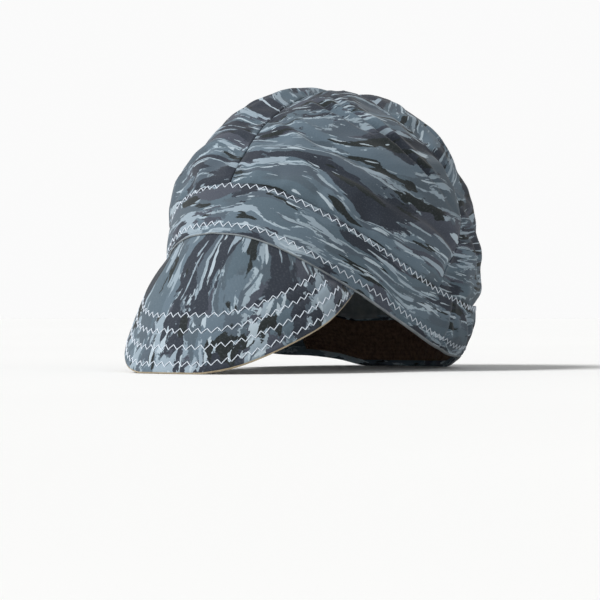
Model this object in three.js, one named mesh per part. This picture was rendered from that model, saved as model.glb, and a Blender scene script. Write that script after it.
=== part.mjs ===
// A soft welding cap with a short peak, resting on a level surface on the
// flattened nape of its hem and on the rim of its peak.
// Millimetres, +Z up, the front of the cap towards -Y, the wearer's left +X.
import * as THREE from 'three';

// Driving sizes of the crown
const CAP_LENGTH = 213;
const CAP_WIDTH = 164;
const CAP_HEIGHT = 161;
const CROWN_CLOTH = 1.5;
const PUFF = 3.6;
const APEX_OPENING = 2.5;

// Driving sizes of the headband and the hem
const BAND_WIDTH = 32.5;
const BAND_CLOTH = 2.4;
const HEM_RISE = 75.6;

// Driving sizes of the peak
const PEAK_REACH = 41.6;
const PEAK_HALF_WIDTH = 64.5;
const PEAK_CLOTH = 2.6;
const PEAK_DOME = 4;
const PEAK_END_AZIMUTH = 53;

// Driving sizes of the elastic strip inside the nape
const STRIP_WIDTH = 26;
const STRIP_CLOTH = 1.4;
const STRIP_SET_BACK = 3;
const STRIP_HALF_ARC = 60;

// Clearances, and the depth that the dents are shares of
const SEAM_GAP = 0.3;
const STRIP_GAP = 0.4;
const DENT_DEPTH = 4;

// Level sections of the crown from the floor to the apex. height is a share of
// CAP_HEIGHT; front, back and widest are shares of half of CAP_LENGTH, measured
// backwards from the middle; side is a share of half of CAP_WIDTH.
const SECTIONS = [
  { height: 0.000, front: -0.925, back: 0.981, widest: 0.240, side: 0.730 },
  { height: 0.124, front: -0.977, back: 1.005, widest: 0.250, side: 0.878 },
  { height: 0.261, front: -1.007, back: 0.977, widest: 0.225, side: 0.957 },
  { height: 0.410, front: -0.998, back: 0.905, widest: 0.197, side: 1.000 },
  { height: 0.571, front: -0.910, back: 0.820, widest: 0.178, side: 0.976 },
  { height: 0.714, front: -0.746, back: 0.735, widest: 0.175, side: 0.866 },
  { height: 0.845, front: -0.540, back: 0.640, widest: 0.185, side: 0.680 },
  { height: 0.932, front: -0.310, back: 0.545, widest: 0.210, side: 0.455 },
  { height: 0.980, front: -0.075, back: 0.450, widest: 0.235, side: 0.250 },
  { height: 1.000, front: 0.245, back: 0.245, widest: 0.245, side: 0.000 },
];

// The hem's height as a share of HEM_RISE, by azimuth: 0 is the front centre,
// 180 the nape. It lies flat on the surface from 150 degrees on.
const HEM = [
  { azimuth: 0, rise: 1.000 },
  { azimuth: 15, rise: 0.966 },
  { azimuth: 30, rise: 0.853 },
  { azimuth: 54, rise: 0.561 },
  { azimuth: 70, rise: 0.344 },
  { azimuth: 84, rise: 0.190 },
  { azimuth: 96, rise: 0.119 },
  { azimuth: 108, rise: 0.093 },
  { azimuth: 122, rise: 0.083 },
  { azimuth: 136, rise: 0.053 },
  { azimuth: 150, rise: 0.000 },
  { azimuth: 180, rise: 0.000 },
];

// The side seam's azimuth by its way up from the band (0) to the apex (1).
const SIDE_SEAM = [
  { up: 0.00, azimuth: 83 },
  { up: 0.10, azimuth: 86 },
  { up: 0.20, azimuth: 91 },
  { up: 0.30, azimuth: 96 },
  { up: 0.40, azimuth: 97 },
  { up: 0.50, azimuth: 92 },
  { up: 0.60, azimuth: 85 },
  { up: 0.75, azimuth: 79 },
  { up: 1.00, azimuth: 77 },
];

// Half of the peak's rim, from its middle to where it meets the hem. side is a
// share of PEAK_HALF_WIDTH, reach of the way from that corner out to the tip,
// and rise of the corner's height.
const PEAK_RIM = [
  { across: 0.0, side: 0.000, reach: 1.000, rise: 0.000 },
  { across: 0.2, side: 0.310, reach: 0.967, rise: 0.000 },
  { across: 0.4, side: 0.605, reach: 0.835, rise: 0.100 },
  { across: 0.6, side: 0.853, reach: 0.604, rise: 0.340 },
  { across: 0.8, side: 1.000, reach: 0.319, rise: 0.640 },
  { across: 1.0, side: 0.961, reach: 0.000, rise: 1.000 },
];

// The four crown panels, each between two seams, with its puff as a share of PUFF.
const PANELS = [
  { name: 'crown_front_left', from: 'front', to: 'left', puff: 1.0 },
  { name: 'crown_back_left', from: 'left', to: 'back', puff: 0.8 },
  { name: 'crown_front_right', from: 'right', to: 'front', puff: 2.1 },
  { name: 'crown_back_right', from: 'minusBack', to: 'right', puff: 1.0 },
];

// Dents and folds of the soft cloth, each an oval on the surface: its azimuth,
// its height as a share of CAP_HEIGHT, its half extents in degrees and as a
// share of CAP_HEIGHT, its slant and its depth as a share of DENT_DEPTH.
const DENTS = [
  { azimuth: -58, height: 0.78, wide: 15, tall: 0.06, slant: 0.002, depth: 0.75 },
  { azimuth: 86, height: 0.33, wide: 10, tall: 0.05, slant: 0.003, depth: 0.70 },
  { azimuth: 108, height: 0.62, wide: 9, tall: 0.16, slant: -0.004, depth: 0.45 },
  { azimuth: 40, height: 0.80, wide: 26, tall: 0.05, slant: 0.003, depth: 0.40 },
  { azimuth: 148, height: 0.52, wide: 13, tall: 0.10, slant: 0.004, depth: 0.60 },
  { azimuth: -120, height: 0.60, wide: 14, tall: 0.11, slant: -0.004, depth: 0.60 },
  { azimuth: 178, height: 0.70, wide: 16, tall: 0.06, slant: 0, depth: 0.50 },
];

const CAMO = { color: 0x56616b, roughness: 0.92, metalness: 0 };
const BAND_CAMO = { color: 0x4f5a64, roughness: 0.92, metalness: 0 };
const PEAK_CAMO = { color: 0x5f6a73, roughness: 0.92, metalness: 0 };
const ELASTIC = { color: 0x2b2420, roughness: 0.95, metalness: 0 };

const HALF_LENGTH = CAP_LENGTH / 2;
const HALF_WIDTH = CAP_WIDTH / 2;
const PROBE = 0.002;
const radians = THREE.MathUtils.degToRad;

// The value of a table's column at a place between its rows, along a smooth
// curve through them.
function blend(table, key, column, at) {
  const last = table.length - 1;
  let row = 0;
  while (row < last - 1 && at > table[row + 1][key]) row += 1;
  const slope = (index) => {
    const low = table[Math.max(index - 1, 0)];
    const high = table[Math.min(index + 1, last)];
    return (high[column] - low[column]) / (high[key] - low[key]);
  };
  const start = table[row];
  const end = table[row + 1];
  const span = end[key] - start[key];
  const t = (at - start[key]) / span;
  const t2 = t * t;
  const t3 = t2 * t;
  return (2 * t3 - 3 * t2 + 1) * start[column] + (t3 - 2 * t2 + t) * span * slope(row)
    + (3 * t2 - 2 * t3) * end[column] + (t3 - t2) * span * slope(row + 1);
}

// The sections in millimetres, each with its way along the crown's profile.
function measureSections() {
  const rows = SECTIONS.map((row) => ({
    height: row.height * CAP_HEIGHT,
    front: row.front * HALF_LENGTH,
    back: row.back * HALF_LENGTH,
    widest: row.widest * HALF_LENGTH,
    side: row.side * HALF_WIDTH,
    way: 0,
  }));
  const reach = (row) => (row.back - row.front) / 2;
  for (let index = 1; index < rows.length; index += 1) {
    const low = rows[index - 1];
    const high = rows[index];
    const inward = ((reach(high) - reach(low)) ** 2 + (high.side - low.side) ** 2) / 2;
    high.way = low.way + Math.sqrt((high.height - low.height) ** 2 + inward);
  }
  return rows;
}

const SECTION_ROWS = measureSections();
const TOP_WAY = SECTION_ROWS[SECTION_ROWS.length - 1].way;

// The point of the smooth crown at an azimuth in degrees and a way up the profile.
function smoothPoint(azimuth, way) {
  const at = Math.min(way, TOP_WAY);
  const read = (column) => blend(SECTION_ROWS, 'way', column, at);
  const along = Math.cos(radians(azimuth));
  const aside = Math.sin(radians(azimuth));
  const end = along > 0 ? read('front') : read('back');
  const reach = Math.abs(end - read('widest'));
  return new THREE.Vector3(read('side') * aside, read('widest') - reach * along, read('height'));
}

// The outward normal of the smooth crown.
function smoothNormal(azimuth, way) {
  const across = smoothPoint(azimuth + 1, way).sub(smoothPoint(azimuth - 1, way));
  const low = Math.max(way - 1, 0);
  const up = smoothPoint(azimuth, Math.min(way + 1, TOP_WAY)).sub(smoothPoint(azimuth, low));
  return across.cross(up).normalize();
}

// The way up the profile, at one azimuth, where a test first turns true.
function findWay(start, test) {
  let low = start;
  let high = TOP_WAY;
  while (high - low > PROBE) {
    const middle = (low + high) / 2;
    if (test(middle)) high = middle;
    else low = middle;
  }
  return high;
}

const foldAzimuth = (azimuth) => Math.abs(((azimuth + 540) % 360) - 180);

function hemHeight(azimuth) {
  return HEM_RISE * Math.max(blend(HEM, 'azimuth', 'rise', foldAzimuth(azimuth)), 0);
}

function hemWay(azimuth) {
  const height = hemHeight(azimuth);
  if (height === 0) return 0;
  return findWay(0, (way) => smoothPoint(azimuth, way).z >= height);
}

// The way up the profile that lies a distance above the hem, along the cloth.
function wayAboveHem(azimuth, distance) {
  const stride = 0.5;
  let way = hemWay(azimuth);
  let point = smoothPoint(azimuth, way);
  let walked = 0;
  while (walked < distance && way < TOP_WAY) {
    const next = smoothPoint(azimuth, way + stride);
    const step = next.distanceTo(point);
    const part = Math.min(1, (distance - walked) / step);
    way += stride * part;
    walked += step * part;
    point = next;
  }
  return way;
}

// How far the dents draw the cloth in at one place of the crown.
function dentDepth(azimuth, height) {
  let depth = 0;
  for (const dent of DENTS) {
    const turn = ((azimuth - dent.azimuth + 540) % 360) - 180;
    const rise = height / CAP_HEIGHT - dent.height - dent.slant * turn;
    const away = (turn / dent.wide) ** 2 + (rise / dent.tall) ** 2;
    depth += DENT_DEPTH * dent.depth * Math.exp(-away);
  }
  return depth;
}

// A point of the cloth's outer face with its normal, puffed out by a distance.
function clothPlace(azimuth, way, puff) {
  const point = smoothPoint(azimuth, way);
  const normal = smoothNormal(azimuth, way);
  const out = puff - dentDepth(azimuth, point.z) * Math.min(way / BAND_WIDTH, 1);
  return { point: point.addScaledVector(normal, out), normal };
}

const levelled = (normal) => new THREE.Vector3(normal.x, normal.y, 0).normalize();

// A closed wall of cloth: a grid of places on its outer face, and the same grid
// one thickness further in. A ring wall joins its last column to its first.
function clothWall(columns, rows, thickness, ring, place) {
  const positions = [];
  for (let row = 0; row <= rows; row += 1) {
    for (let column = 0; column < columns + (ring ? 0 : 1); column += 1) {
      const { point, normal } = place(column / columns, row / rows);
      const inner = point.clone().addScaledVector(normal, -thickness);
      positions.push(point.x, point.y, point.z, inner.x, inner.y, inner.z);
    }
  }
  const width = ring ? columns : columns + 1;
  const outer = (column, row) => 2 * (row * width + (column % width));
  const inner = (column, row) => outer(column, row) + 1;
  const faces = [];
  const quad = (a, b, c, d) => faces.push(a, b, c, a, c, d);
  for (let column = 0; column < columns; column += 1) {
    for (let row = 0; row < rows; row += 1) {
      quad(outer(column, row), outer(column + 1, row), outer(column + 1, row + 1), outer(column, row + 1));
      quad(inner(column, row), inner(column, row + 1), inner(column + 1, row + 1), inner(column + 1, row));
    }
    quad(inner(column, 0), inner(column + 1, 0), outer(column + 1, 0), outer(column, 0));
    quad(outer(column, rows), outer(column + 1, rows), inner(column + 1, rows), inner(column, rows));
  }
  for (let row = 0; row < rows && !ring; row += 1) {
    quad(inner(0, row), outer(0, row), outer(0, row + 1), inner(0, row + 1));
    quad(outer(columns, row), inner(columns, row), inner(columns, row + 1), outer(columns, row + 1));
  }
  const geometry = new THREE.BufferGeometry();
  geometry.setAttribute('position', new THREE.Float32BufferAttribute(positions, 3));
  geometry.setIndex(faces);
  geometry.computeVertexNormals();
  return geometry;
}

function piece(name, geometry, look) {
  const mesh = new THREE.Mesh(geometry, new THREE.MeshStandardMaterial(look));
  mesh.name = name;
  return mesh;
}

// The azimuth of a seam by its way up from the band to the apex.
function seamAzimuth(seam, up) {
  const side = blend(SIDE_SEAM, 'up', 'azimuth', up);
  return { front: 0, left: side, right: -side, back: 180, minusBack: -180 }[seam];
}

// One crown panel between two seams, from the band up to the apex.
function crownPanel({ name, from, to, puff }) {
  const columns = 18;
  const rows = 16;
  const topWay = findWay(TOP_WAY / 2, (way) => blend(SECTION_ROWS, 'way', 'side', way) < APEX_OPENING);
  const place = (across, up) => {
    const start = seamAzimuth(from, up);
    const end = seamAzimuth(to, up);
    const rough = THREE.MathUtils.lerp(start, end, across);
    const foot = wayAboveHem(rough, BAND_WIDTH + SEAM_GAP);
    const way = THREE.MathUtils.lerp(foot, topWay, up);
    const radius = blend(SECTION_ROWS, 'way', 'side', way);
    const inset = THREE.MathUtils.radToDeg(SEAM_GAP / 2 / radius);
    const azimuth = THREE.MathUtils.lerp(start + inset, end - inset, across);
    const pillow = (Math.sin(Math.PI * across) * Math.sin(Math.PI * up)) ** 0.6;
    return clothPlace(azimuth, way, PUFF * puff * pillow);
  };
  return piece(name, clothWall(columns, rows, CROWN_CLOTH, false, place), CAMO);
}

// The headband, a ring of even width whose hem edge is cut level.
function headband() {
  const columns = 72;
  const rows = 5;
  const place = (across, up) => {
    const azimuth = 360 * across - 180;
    const way = wayAboveHem(azimuth, BAND_WIDTH * up);
    const { point, normal } = clothPlace(azimuth, way, 0);
    return { point, normal: up === 0 ? levelled(normal) : normal };
  };
  return piece('headband', clothWall(columns, rows, BAND_CLOTH, true, place), BAND_CAMO);
}

// The elastic strip on the inside of the band at the nape.
function napeElastic() {
  const columns = 24;
  const rows = 4;
  const place = (across, up) => {
    const azimuth = 180 + STRIP_HALF_ARC * (2 * across - 1);
    const way = wayAboveHem(azimuth, STRIP_SET_BACK + STRIP_WIDTH * up);
    const { point, normal } = clothPlace(azimuth, way, 0);
    return { point: point.addScaledVector(normal, -BAND_CLOTH - STRIP_GAP), normal };
  };
  return piece('nape_elastic', clothWall(columns, rows, STRIP_CLOTH, false, place), ELASTIC);
}

// A point of the peak's rim, from -1 at the wearer's right to 1 at the left.
function rimPoint(across) {
  const corner = smoothPoint(PEAK_END_AZIMUTH, hemWay(PEAK_END_AZIMUTH));
  const tip = smoothPoint(0, hemWay(0)).y - PEAK_REACH;
  const read = (column) => blend(PEAK_RIM, 'across', column, Math.abs(across));
  return new THREE.Vector3(
    Math.sign(across) * PEAK_HALF_WIDTH * read('side'),
    THREE.MathUtils.lerp(corner.y, tip, read('reach')),
    corner.z * Math.max(read('rise'), 0),
  );
}

// A point of the peak's upper face between the hem and the rim.
function peakPoint(across, out) {
  const azimuth = PEAK_END_AZIMUTH * across;
  const way = hemWay(azimuth);
  const root = clothPlace(azimuth, way, 0).point;
  const rim = rimPoint(across);
  const direction = rim.clone().sub(root);
  root.addScaledVector(direction.clone().normalize(), SEAM_GAP);
  const arch = Math.sin(Math.PI * out) * Math.sqrt(Math.cos(Math.PI / 2 * Math.min(Math.abs(across), 0.99)));
  const lift = smoothNormal(azimuth, way).multiplyScalar(PEAK_DOME * arch);
  return root.lerp(rim, out).add(lift);
}

// The peak, domed between the hem and its rim, its rim edge cut level.
function peak() {
  const columns = 30;
  const rows = 9;
  const endShare = 0.96;
  const place = (share, up) => {
    const across = endShare * (2 * share - 1);
    const out = 1 - up;
    const point = peakPoint(across, out);
    const aside = peakPoint(across + PROBE, out).sub(peakPoint(across - PROBE, out));
    const inward = peakPoint(across, out - PROBE).sub(peakPoint(across, out + PROBE));
    const normal = aside.cross(inward).normalize();
    return { point, normal: up === 0 ? levelled(normal) : normal };
  };
  return piece('peak', clothWall(columns, rows, PEAK_CLOTH, false, place), PEAK_CAMO);
}

// The whole cap, moved so that it stands on z = 0 about the middle of its box.
function weldingCap() {
  const cap = new THREE.Group();
  PANELS.forEach((panel) => cap.add(crownPanel(panel)));
  cap.add(headband(), peak(), napeElastic());
  const box = new THREE.Box3().setFromObject(cap);
  const middle = box.getCenter(new THREE.Vector3());
  cap.position.set(-middle.x, -middle.y, -box.min.z);
  cap.updateMatrixWorld(true);
  return cap;
}

export default weldingCap();
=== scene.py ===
"""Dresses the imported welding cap: its sewn cloth, stitching, stage, lights and camera.

Lengths inside the classes are millimetres, and build_piece turns them into metres.
The front of the cap looks towards -Y and the wearer's left is +X.
"""

import logging
import math
from dataclasses import dataclass, field
from enum import Enum
from typing import Callable, NamedTuple

import bpy
import numpy as np
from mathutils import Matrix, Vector


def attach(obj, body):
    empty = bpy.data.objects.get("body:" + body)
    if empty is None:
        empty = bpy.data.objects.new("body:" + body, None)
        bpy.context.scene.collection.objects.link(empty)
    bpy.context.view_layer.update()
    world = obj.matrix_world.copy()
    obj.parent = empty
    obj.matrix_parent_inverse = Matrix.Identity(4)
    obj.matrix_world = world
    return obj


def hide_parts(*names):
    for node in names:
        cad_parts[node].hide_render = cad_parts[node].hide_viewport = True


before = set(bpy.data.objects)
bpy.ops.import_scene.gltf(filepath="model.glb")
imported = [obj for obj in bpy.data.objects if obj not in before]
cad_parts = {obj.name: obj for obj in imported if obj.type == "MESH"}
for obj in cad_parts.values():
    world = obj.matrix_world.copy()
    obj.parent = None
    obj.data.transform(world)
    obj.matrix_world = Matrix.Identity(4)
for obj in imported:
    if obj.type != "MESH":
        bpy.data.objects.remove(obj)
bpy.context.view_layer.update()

Array = np.ndarray
Surface = Callable[[Array, Array], Array]
Piece = bpy.types.Object
Material = bpy.types.Material
Socket = bpy.types.NodeSocket
LOG = logging.getLogger("welding_cap")
MM = 0.001
CLOTH_UV = "cloth"
UV_UNIT = 100.0
WAVE_TURN = 20.0


class Seam(Enum):
    """The four seams between the crown's panels."""

    FRONT = "front"
    LEFT = "left"
    RIGHT = "right"
    BACK = "back"
    BACK_FROM_RIGHT = "back_from_right"


class Slot(Enum):
    """The record's material slots."""

    CROWN = "crown_cloth"
    BAND = "band_cloth"
    PEAK = "peak_cloth"
    ELASTIC = "dark_elastic"


class Section(NamedTuple):
    """One level section of the crown, as shares of the cap's half sizes."""

    height: float
    front: float
    back: float
    widest: float
    side: float


class Fold(NamedTuple):
    """One soft fold between two places given by azimuth and height.

    Heights are shares of the cap's height on the crown, and millimetres above the hem on the band.
    """

    start_azimuth: float
    start_height: float
    end_azimuth: float
    end_height: float
    half_width: float
    depth: float

    def lift(self, place: Array, away: Array, ridge: float) -> Array:
        """Gives the fold's furrow, which fades at both ends, with a low ridge at each side.

        Args:
            place: From 0 at the fold's start to 1 at its end.
            away: Millimetres from its middle line.
            ridge: The ridges' height, as a share of the furrow's depth.

        Returns:
            Millimetres out along the normal.
        """
        strength = self.depth * np.sin(np.pi * np.clip(place, 0.04, 0.96)) ** 0.7
        offset = away / self.half_width
        return strength * (ridge * np.exp(-((offset - 1.9) ** 2)) - np.exp(-(offset**2)))


class Pocket(NamedTuple):
    """A deep small hollow, or a lobe if its depth is negative, just above the band."""

    azimuth: float
    above: float
    wide: float
    tall: float
    depth: float


class Dent(NamedTuple):
    """An oval dent of the cloth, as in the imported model."""

    azimuth: float
    height: float
    wide: float
    tall: float
    slant: float
    depth: float


class PanelCut(NamedTuple):
    """How one crown panel is cut: its quarter of the ring, its seams and its place on the print."""

    quarter: int
    name: str
    start: Seam
    end: Seam
    puff: float
    seed: int
    print_place: tuple[float, float]


SECTIONS = (
    Section(0.000, -0.925, 0.981, 0.240, 0.730),
    Section(0.124, -0.977, 1.005, 0.250, 0.878),
    Section(0.261, -1.007, 0.977, 0.225, 0.957),
    Section(0.410, -0.998, 0.905, 0.197, 1.000),
    Section(0.571, -0.910, 0.820, 0.178, 0.976),
    Section(0.714, -0.746, 0.735, 0.175, 0.866),
    Section(0.845, -0.540, 0.640, 0.185, 0.680),
    Section(0.932, -0.310, 0.545, 0.210, 0.455),
    Section(0.980, -0.075, 0.450, 0.235, 0.250),
    Section(1.000, 0.245, 0.245, 0.245, 0.000),
)
# Azimuth in degrees, and the hem's height there as a share of its rise.
HEM = (
    (0, 1.000), (15, 0.966), (30, 0.853), (54, 0.561), (70, 0.344), (84, 0.190),
    (96, 0.119), (108, 0.093), (122, 0.083), (136, 0.053), (150, 0.000), (180, 0.000),
)
# Way up from the band to the apex, and the side seam's azimuth in degrees.
SIDE_SEAM = (
    (0.00, 83), (0.10, 86), (0.20, 91), (0.30, 96), (0.40, 97),
    (0.50, 92), (0.60, 85), (0.75, 79), (1.00, 77),
)
# Way along the rim, then shares of the half width, of the way out to the tip and of the corner's height.
PEAK_RIM = (
    (0.0, 0.000, 1.000, 0.000), (0.2, 0.310, 0.967, 0.000), (0.4, 0.605, 0.835, 0.100),
    (0.6, 0.853, 0.604, 0.340), (0.8, 1.000, 0.319, 0.640), (1.0, 0.961, 0.000, 1.000),
)
DENTS = (
    Dent(-58, 0.78, 15, 0.06, 0.002, 0.75),
    Dent(86, 0.33, 10, 0.05, 0.003, 0.70),
    Dent(108, 0.62, 9, 0.16, -0.004, 0.45),
    Dent(40, 0.80, 26, 0.05, 0.003, 0.40),
    Dent(148, 0.52, 13, 0.10, 0.004, 0.60),
    Dent(-120, 0.60, 14, 0.11, -0.004, 0.60),
    Dent(178, 0.70, 16, 0.06, 0.0, 0.50),
)
FOLDS = (
    Fold(74, 0.53, 92, 0.37, 3.4, 1.5),
    Fold(60, 0.60, 90, 0.43, 4.2, 1.1),
    Fold(44, 0.74, 78, 0.58, 5.0, 1.0),
    Fold(18, 0.80, 52, 0.72, 5.0, 0.9),
    Fold(100, 0.50, 112, 0.34, 3.6, 1.4),
    Fold(98, 0.60, 124, 0.42, 4.0, 1.2),
    Fold(112, 0.90, 128, 0.66, 2.6, 0.9),
    Fold(102, 0.93, 112, 0.72, 2.2, 0.8),
    Fold(126, 0.90, 146, 0.70, 2.8, 0.8),
    Fold(138, 0.64, 168, 0.50, 4.4, 1.2),
    Fold(-20, 0.80, -56, 0.72, 4.6, 1.0),
    Fold(-44, 0.90, -74, 0.80, 3.6, 1.0),
    Fold(-60, 0.60, -90, 0.44, 4.4, 1.3),
    Fold(-78, 0.50, -94, 0.37, 3.4, 1.3),
    Fold(-104, 0.58, -128, 0.42, 4.2, 1.2),
    Fold(-114, 0.90, -134, 0.68, 3.0, 0.9),
    Fold(-140, 0.66, -170, 0.52, 4.6, 1.1),
    Fold(160, 0.86, 150, 0.70, 3.4, 0.9),
    Fold(-160, 0.84, -152, 0.70, 3.4, 0.8),
    Fold(20, 0.94, 66, 0.79, 2.3, 1.4),
    Fold(36, 0.95, 80, 0.72, 2.0, 1.4),
    Fold(50, 0.91, 84, 0.64, 2.2, 1.5),
    Fold(8, 0.87, 56, 0.68, 2.5, 1.2),
    Fold(62, 0.84, 89, 0.56, 2.0, 1.2),
    Fold(34, 0.70, 66, 0.55, 2.6, 0.9),
    Fold(-24, 0.93, -70, 0.77, 2.4, 1.3),
    Fold(-42, 0.88, -80, 0.66, 2.3, 1.3),
    Fold(-12, 0.78, -50, 0.62, 2.8, 1.0),
    Fold(120, 0.56, 158, 0.38, 2.6, 1.3),
    Fold(132, 0.80, 166, 0.66, 2.4, 1.2),
    Fold(-122, 0.54, -156, 0.36, 2.6, 1.3),
    Fold(-134, 0.78, -166, 0.64, 2.4, 1.2),
)
BAND_FOLDS = (
    Fold(101, 27, 113, 13, 2.1, 1.3),
    Fold(88, 22, 95, 12, 2.4, 0.9),
    Fold(115, 24, 125, 8, 2.0, 1.3),
    Fold(127, 28, 133, 10, 1.9, 1.2),
    Fold(138, 22, 146, 5, 2.0, 1.2),
    Fold(150, 28, 156, 10, 1.8, 1.0),
    Fold(164, 24, 168, 7, 1.8, 1.1),
    Fold(176, 28, 179, 9, 1.8, 0.9),
    Fold(58, 20, 74, 9, 3.0, 0.7),
    Fold(-60, 21, -76, 10, 3.0, 0.7),
    Fold(-92, 26, -104, 10, 2.2, 1.2),
    Fold(-112, 28, -120, 12, 2.0, 1.0),
    Fold(-128, 24, -136, 6, 2.0, 1.2),
    Fold(-144, 28, -150, 9, 1.9, 1.1),
    Fold(-160, 25, -165, 7, 1.9, 1.0),
)
POCKETS = (
    Pocket(88.5, 5.0, 3.0, 5.5, 2.6),
    Pocket(82.0, 7.0, 4.5, 5.0, -1.2),
    Pocket(96.0, 9.0, 5.0, 6.0, -1.0),
    Pocket(-86.5, 5.0, 3.2, 5.0, 2.2),
    Pocket(-93.0, 8.0, 5.0, 6.0, -0.9),
    Pocket(112.0, 4.5, 4.5, 4.5, 1.5),
    Pocket(137.0, 5.0, 5.0, 4.5, 1.4),
    Pocket(161.0, 4.5, 4.5, 4.0, 1.3),
    Pocket(-115.0, 4.5, 4.5, 4.5, 1.4),
    Pocket(-141.0, 5.0, 5.0, 4.5, 1.4),
    Pocket(-166.0, 4.5, 4.5, 4.0, 1.3),
)
PANELS = (
    PanelCut(0, "crown_front_left", Seam.FRONT, Seam.LEFT, 1.0, 11, (30.0, 20.0)),
    PanelCut(1, "crown_back_left", Seam.LEFT, Seam.BACK, 0.8, 23, (410.0, 140.0)),
    PanelCut(3, "crown_front_right", Seam.RIGHT, Seam.FRONT, 2.1, 37, (820.0, 330.0)),
    PanelCut(2, "crown_back_right", Seam.BACK_FROM_RIGHT, Seam.RIGHT, 1.0, 41, (1250.0, 90.0)),
)


@dataclass(frozen=True)
class SmoothTable:
    """Rows of numbers, read along a smooth curve through them."""

    keys: Array
    rows: Array

    def read(self, at: Array) -> Array:
        """Reads every column at places between the rows.

        Args:
            at: Places on the scale of the keys.

        Returns:
            The columns' values, in one more dimension than at.
        """
        keys = self.keys
        rows = self.rows
        slopes = np.empty_like(rows)
        slopes[1:-1] = (rows[2:] - rows[:-2]) / (keys[2:] - keys[:-2])[:, None]
        slopes[0] = (rows[1] - rows[0]) / (keys[1] - keys[0])
        slopes[-1] = (rows[-1] - rows[-2]) / (keys[-1] - keys[-2])
        at = np.asarray(at, float)
        index = np.clip(np.searchsorted(keys, at, side="right") - 1, 0, len(keys) - 2)
        span = (keys[index + 1] - keys[index])[..., None]
        t = (at - keys[index])[..., None] / span
        t2 = t * t
        t3 = t2 * t
        start = (2 * t3 - 3 * t2 + 1) * rows[index] + (t3 - 2 * t2 + t) * span * slopes[index]
        end = (3 * t2 - 2 * t3) * rows[index + 1] + (t3 - t2) * span * slopes[index + 1]
        return start + end


def table_of(rows: tuple) -> SmoothTable:
    """Makes a smooth table whose keys are the first number of each row."""
    numbers = np.array(rows, float)
    return SmoothTable(numbers[:, 0], numbers[:, 1:])


def ease(value: Array) -> Array:
    """Turns 0 to 1 into a smooth step from 0 to 1."""
    held = np.clip(value, 0.0, 1.0)
    return held * held * (3.0 - 2.0 * held)


def unit(vectors: Array) -> Array:
    """Scales vectors to a length of one."""
    lengths = np.linalg.norm(vectors, axis=-1, keepdims=True)
    return vectors / np.maximum(lengths, 1e-9)


def levelled(normals: Array) -> Array:
    """Turns outward normals level with the floor."""
    return unit(normals * np.array([1.0, 1.0, 0.0]))


def turn_from(azimuth: Array, middle: float = 0.0) -> Array:
    """Gives the turn from one azimuth to another, between -180 and 180 degrees."""
    return (azimuth - middle + 540.0) % 360.0 - 180.0


def walked_along(path: Array) -> Array:
    """Gives how far along a path each of its points lies."""
    return np.concatenate([[0.0], np.cumsum(np.linalg.norm(np.diff(path, axis=0), axis=1))])


@dataclass
class ClothNoise:
    """Seeded smooth noise for wrinkles, between -1 and 1."""

    seed: int
    size: int = 32
    lattice: Array = field(init=False)

    def __post_init__(self) -> None:
        """Fills the lattice from the seed."""
        source = np.random.default_rng(self.seed)
        self.lattice = source.uniform(-1.0, 1.0, (self.size, self.size))

    def read(self, along: Array, across: Array) -> Array:
        """Reads the noise where two coordinates are given in lattice cells.

        Args:
            along: First coordinate.
            across: Second coordinate.

        Returns:
            The noise at each place.
        """
        column = np.floor(along).astype(int)
        row = np.floor(across).astype(int)
        x = ease(along - column)
        y = ease(across - row)
        size = self.size
        left = column % size
        right = (column + 1) % size
        low = row % size
        high = (row + 1) % size
        lower = self.lattice[left, low] * (1 - x) + self.lattice[right, low] * x
        upper = self.lattice[left, high] * (1 - x) + self.lattice[right, high] * x
        return lower * (1 - y) + upper * y


class Wrinkle(NamedTuple):
    """One size of soft wrinkle in millimetres, how much it leans, and where its noise starts."""

    depth: float
    length: float
    height: float
    start: tuple[float, float]
    lean: float = math.inf
    slant: float = math.inf

    def lift(self, noise: ClothNoise, along: Array, up: Array) -> Array:
        """Gives how far the wrinkle moves the cloth out.

        Args:
            noise: The piece's noise.
            along: Millimetres along the cloth.
            up: Millimetres up the cloth.

        Returns:
            Millimetres out along the normal.
        """
        first = along / self.length + up / self.lean + self.start[0]
        second = up / self.height + along / self.slant + self.start[1]
        return self.depth * noise.read(first, second)


class StitchFurrow(NamedTuple):
    """The uneven furrow that a row of stitches draws into the cloth, in millimetres."""

    depth: float
    half_width: float
    ripple: float
    ripple_length: float

    def lift(self, noise: ClothNoise, along: Array, away: Array, row: float) -> Array:
        """Gives the millimetres out, below zero, along and away from a row whose place starts its noise."""
        ripple = self.ripple * noise.read(along / self.ripple_length + row, along * 0.0 + row)
        return -(self.depth + ripple) * np.exp(-((away / self.half_width) ** 2))


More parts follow.
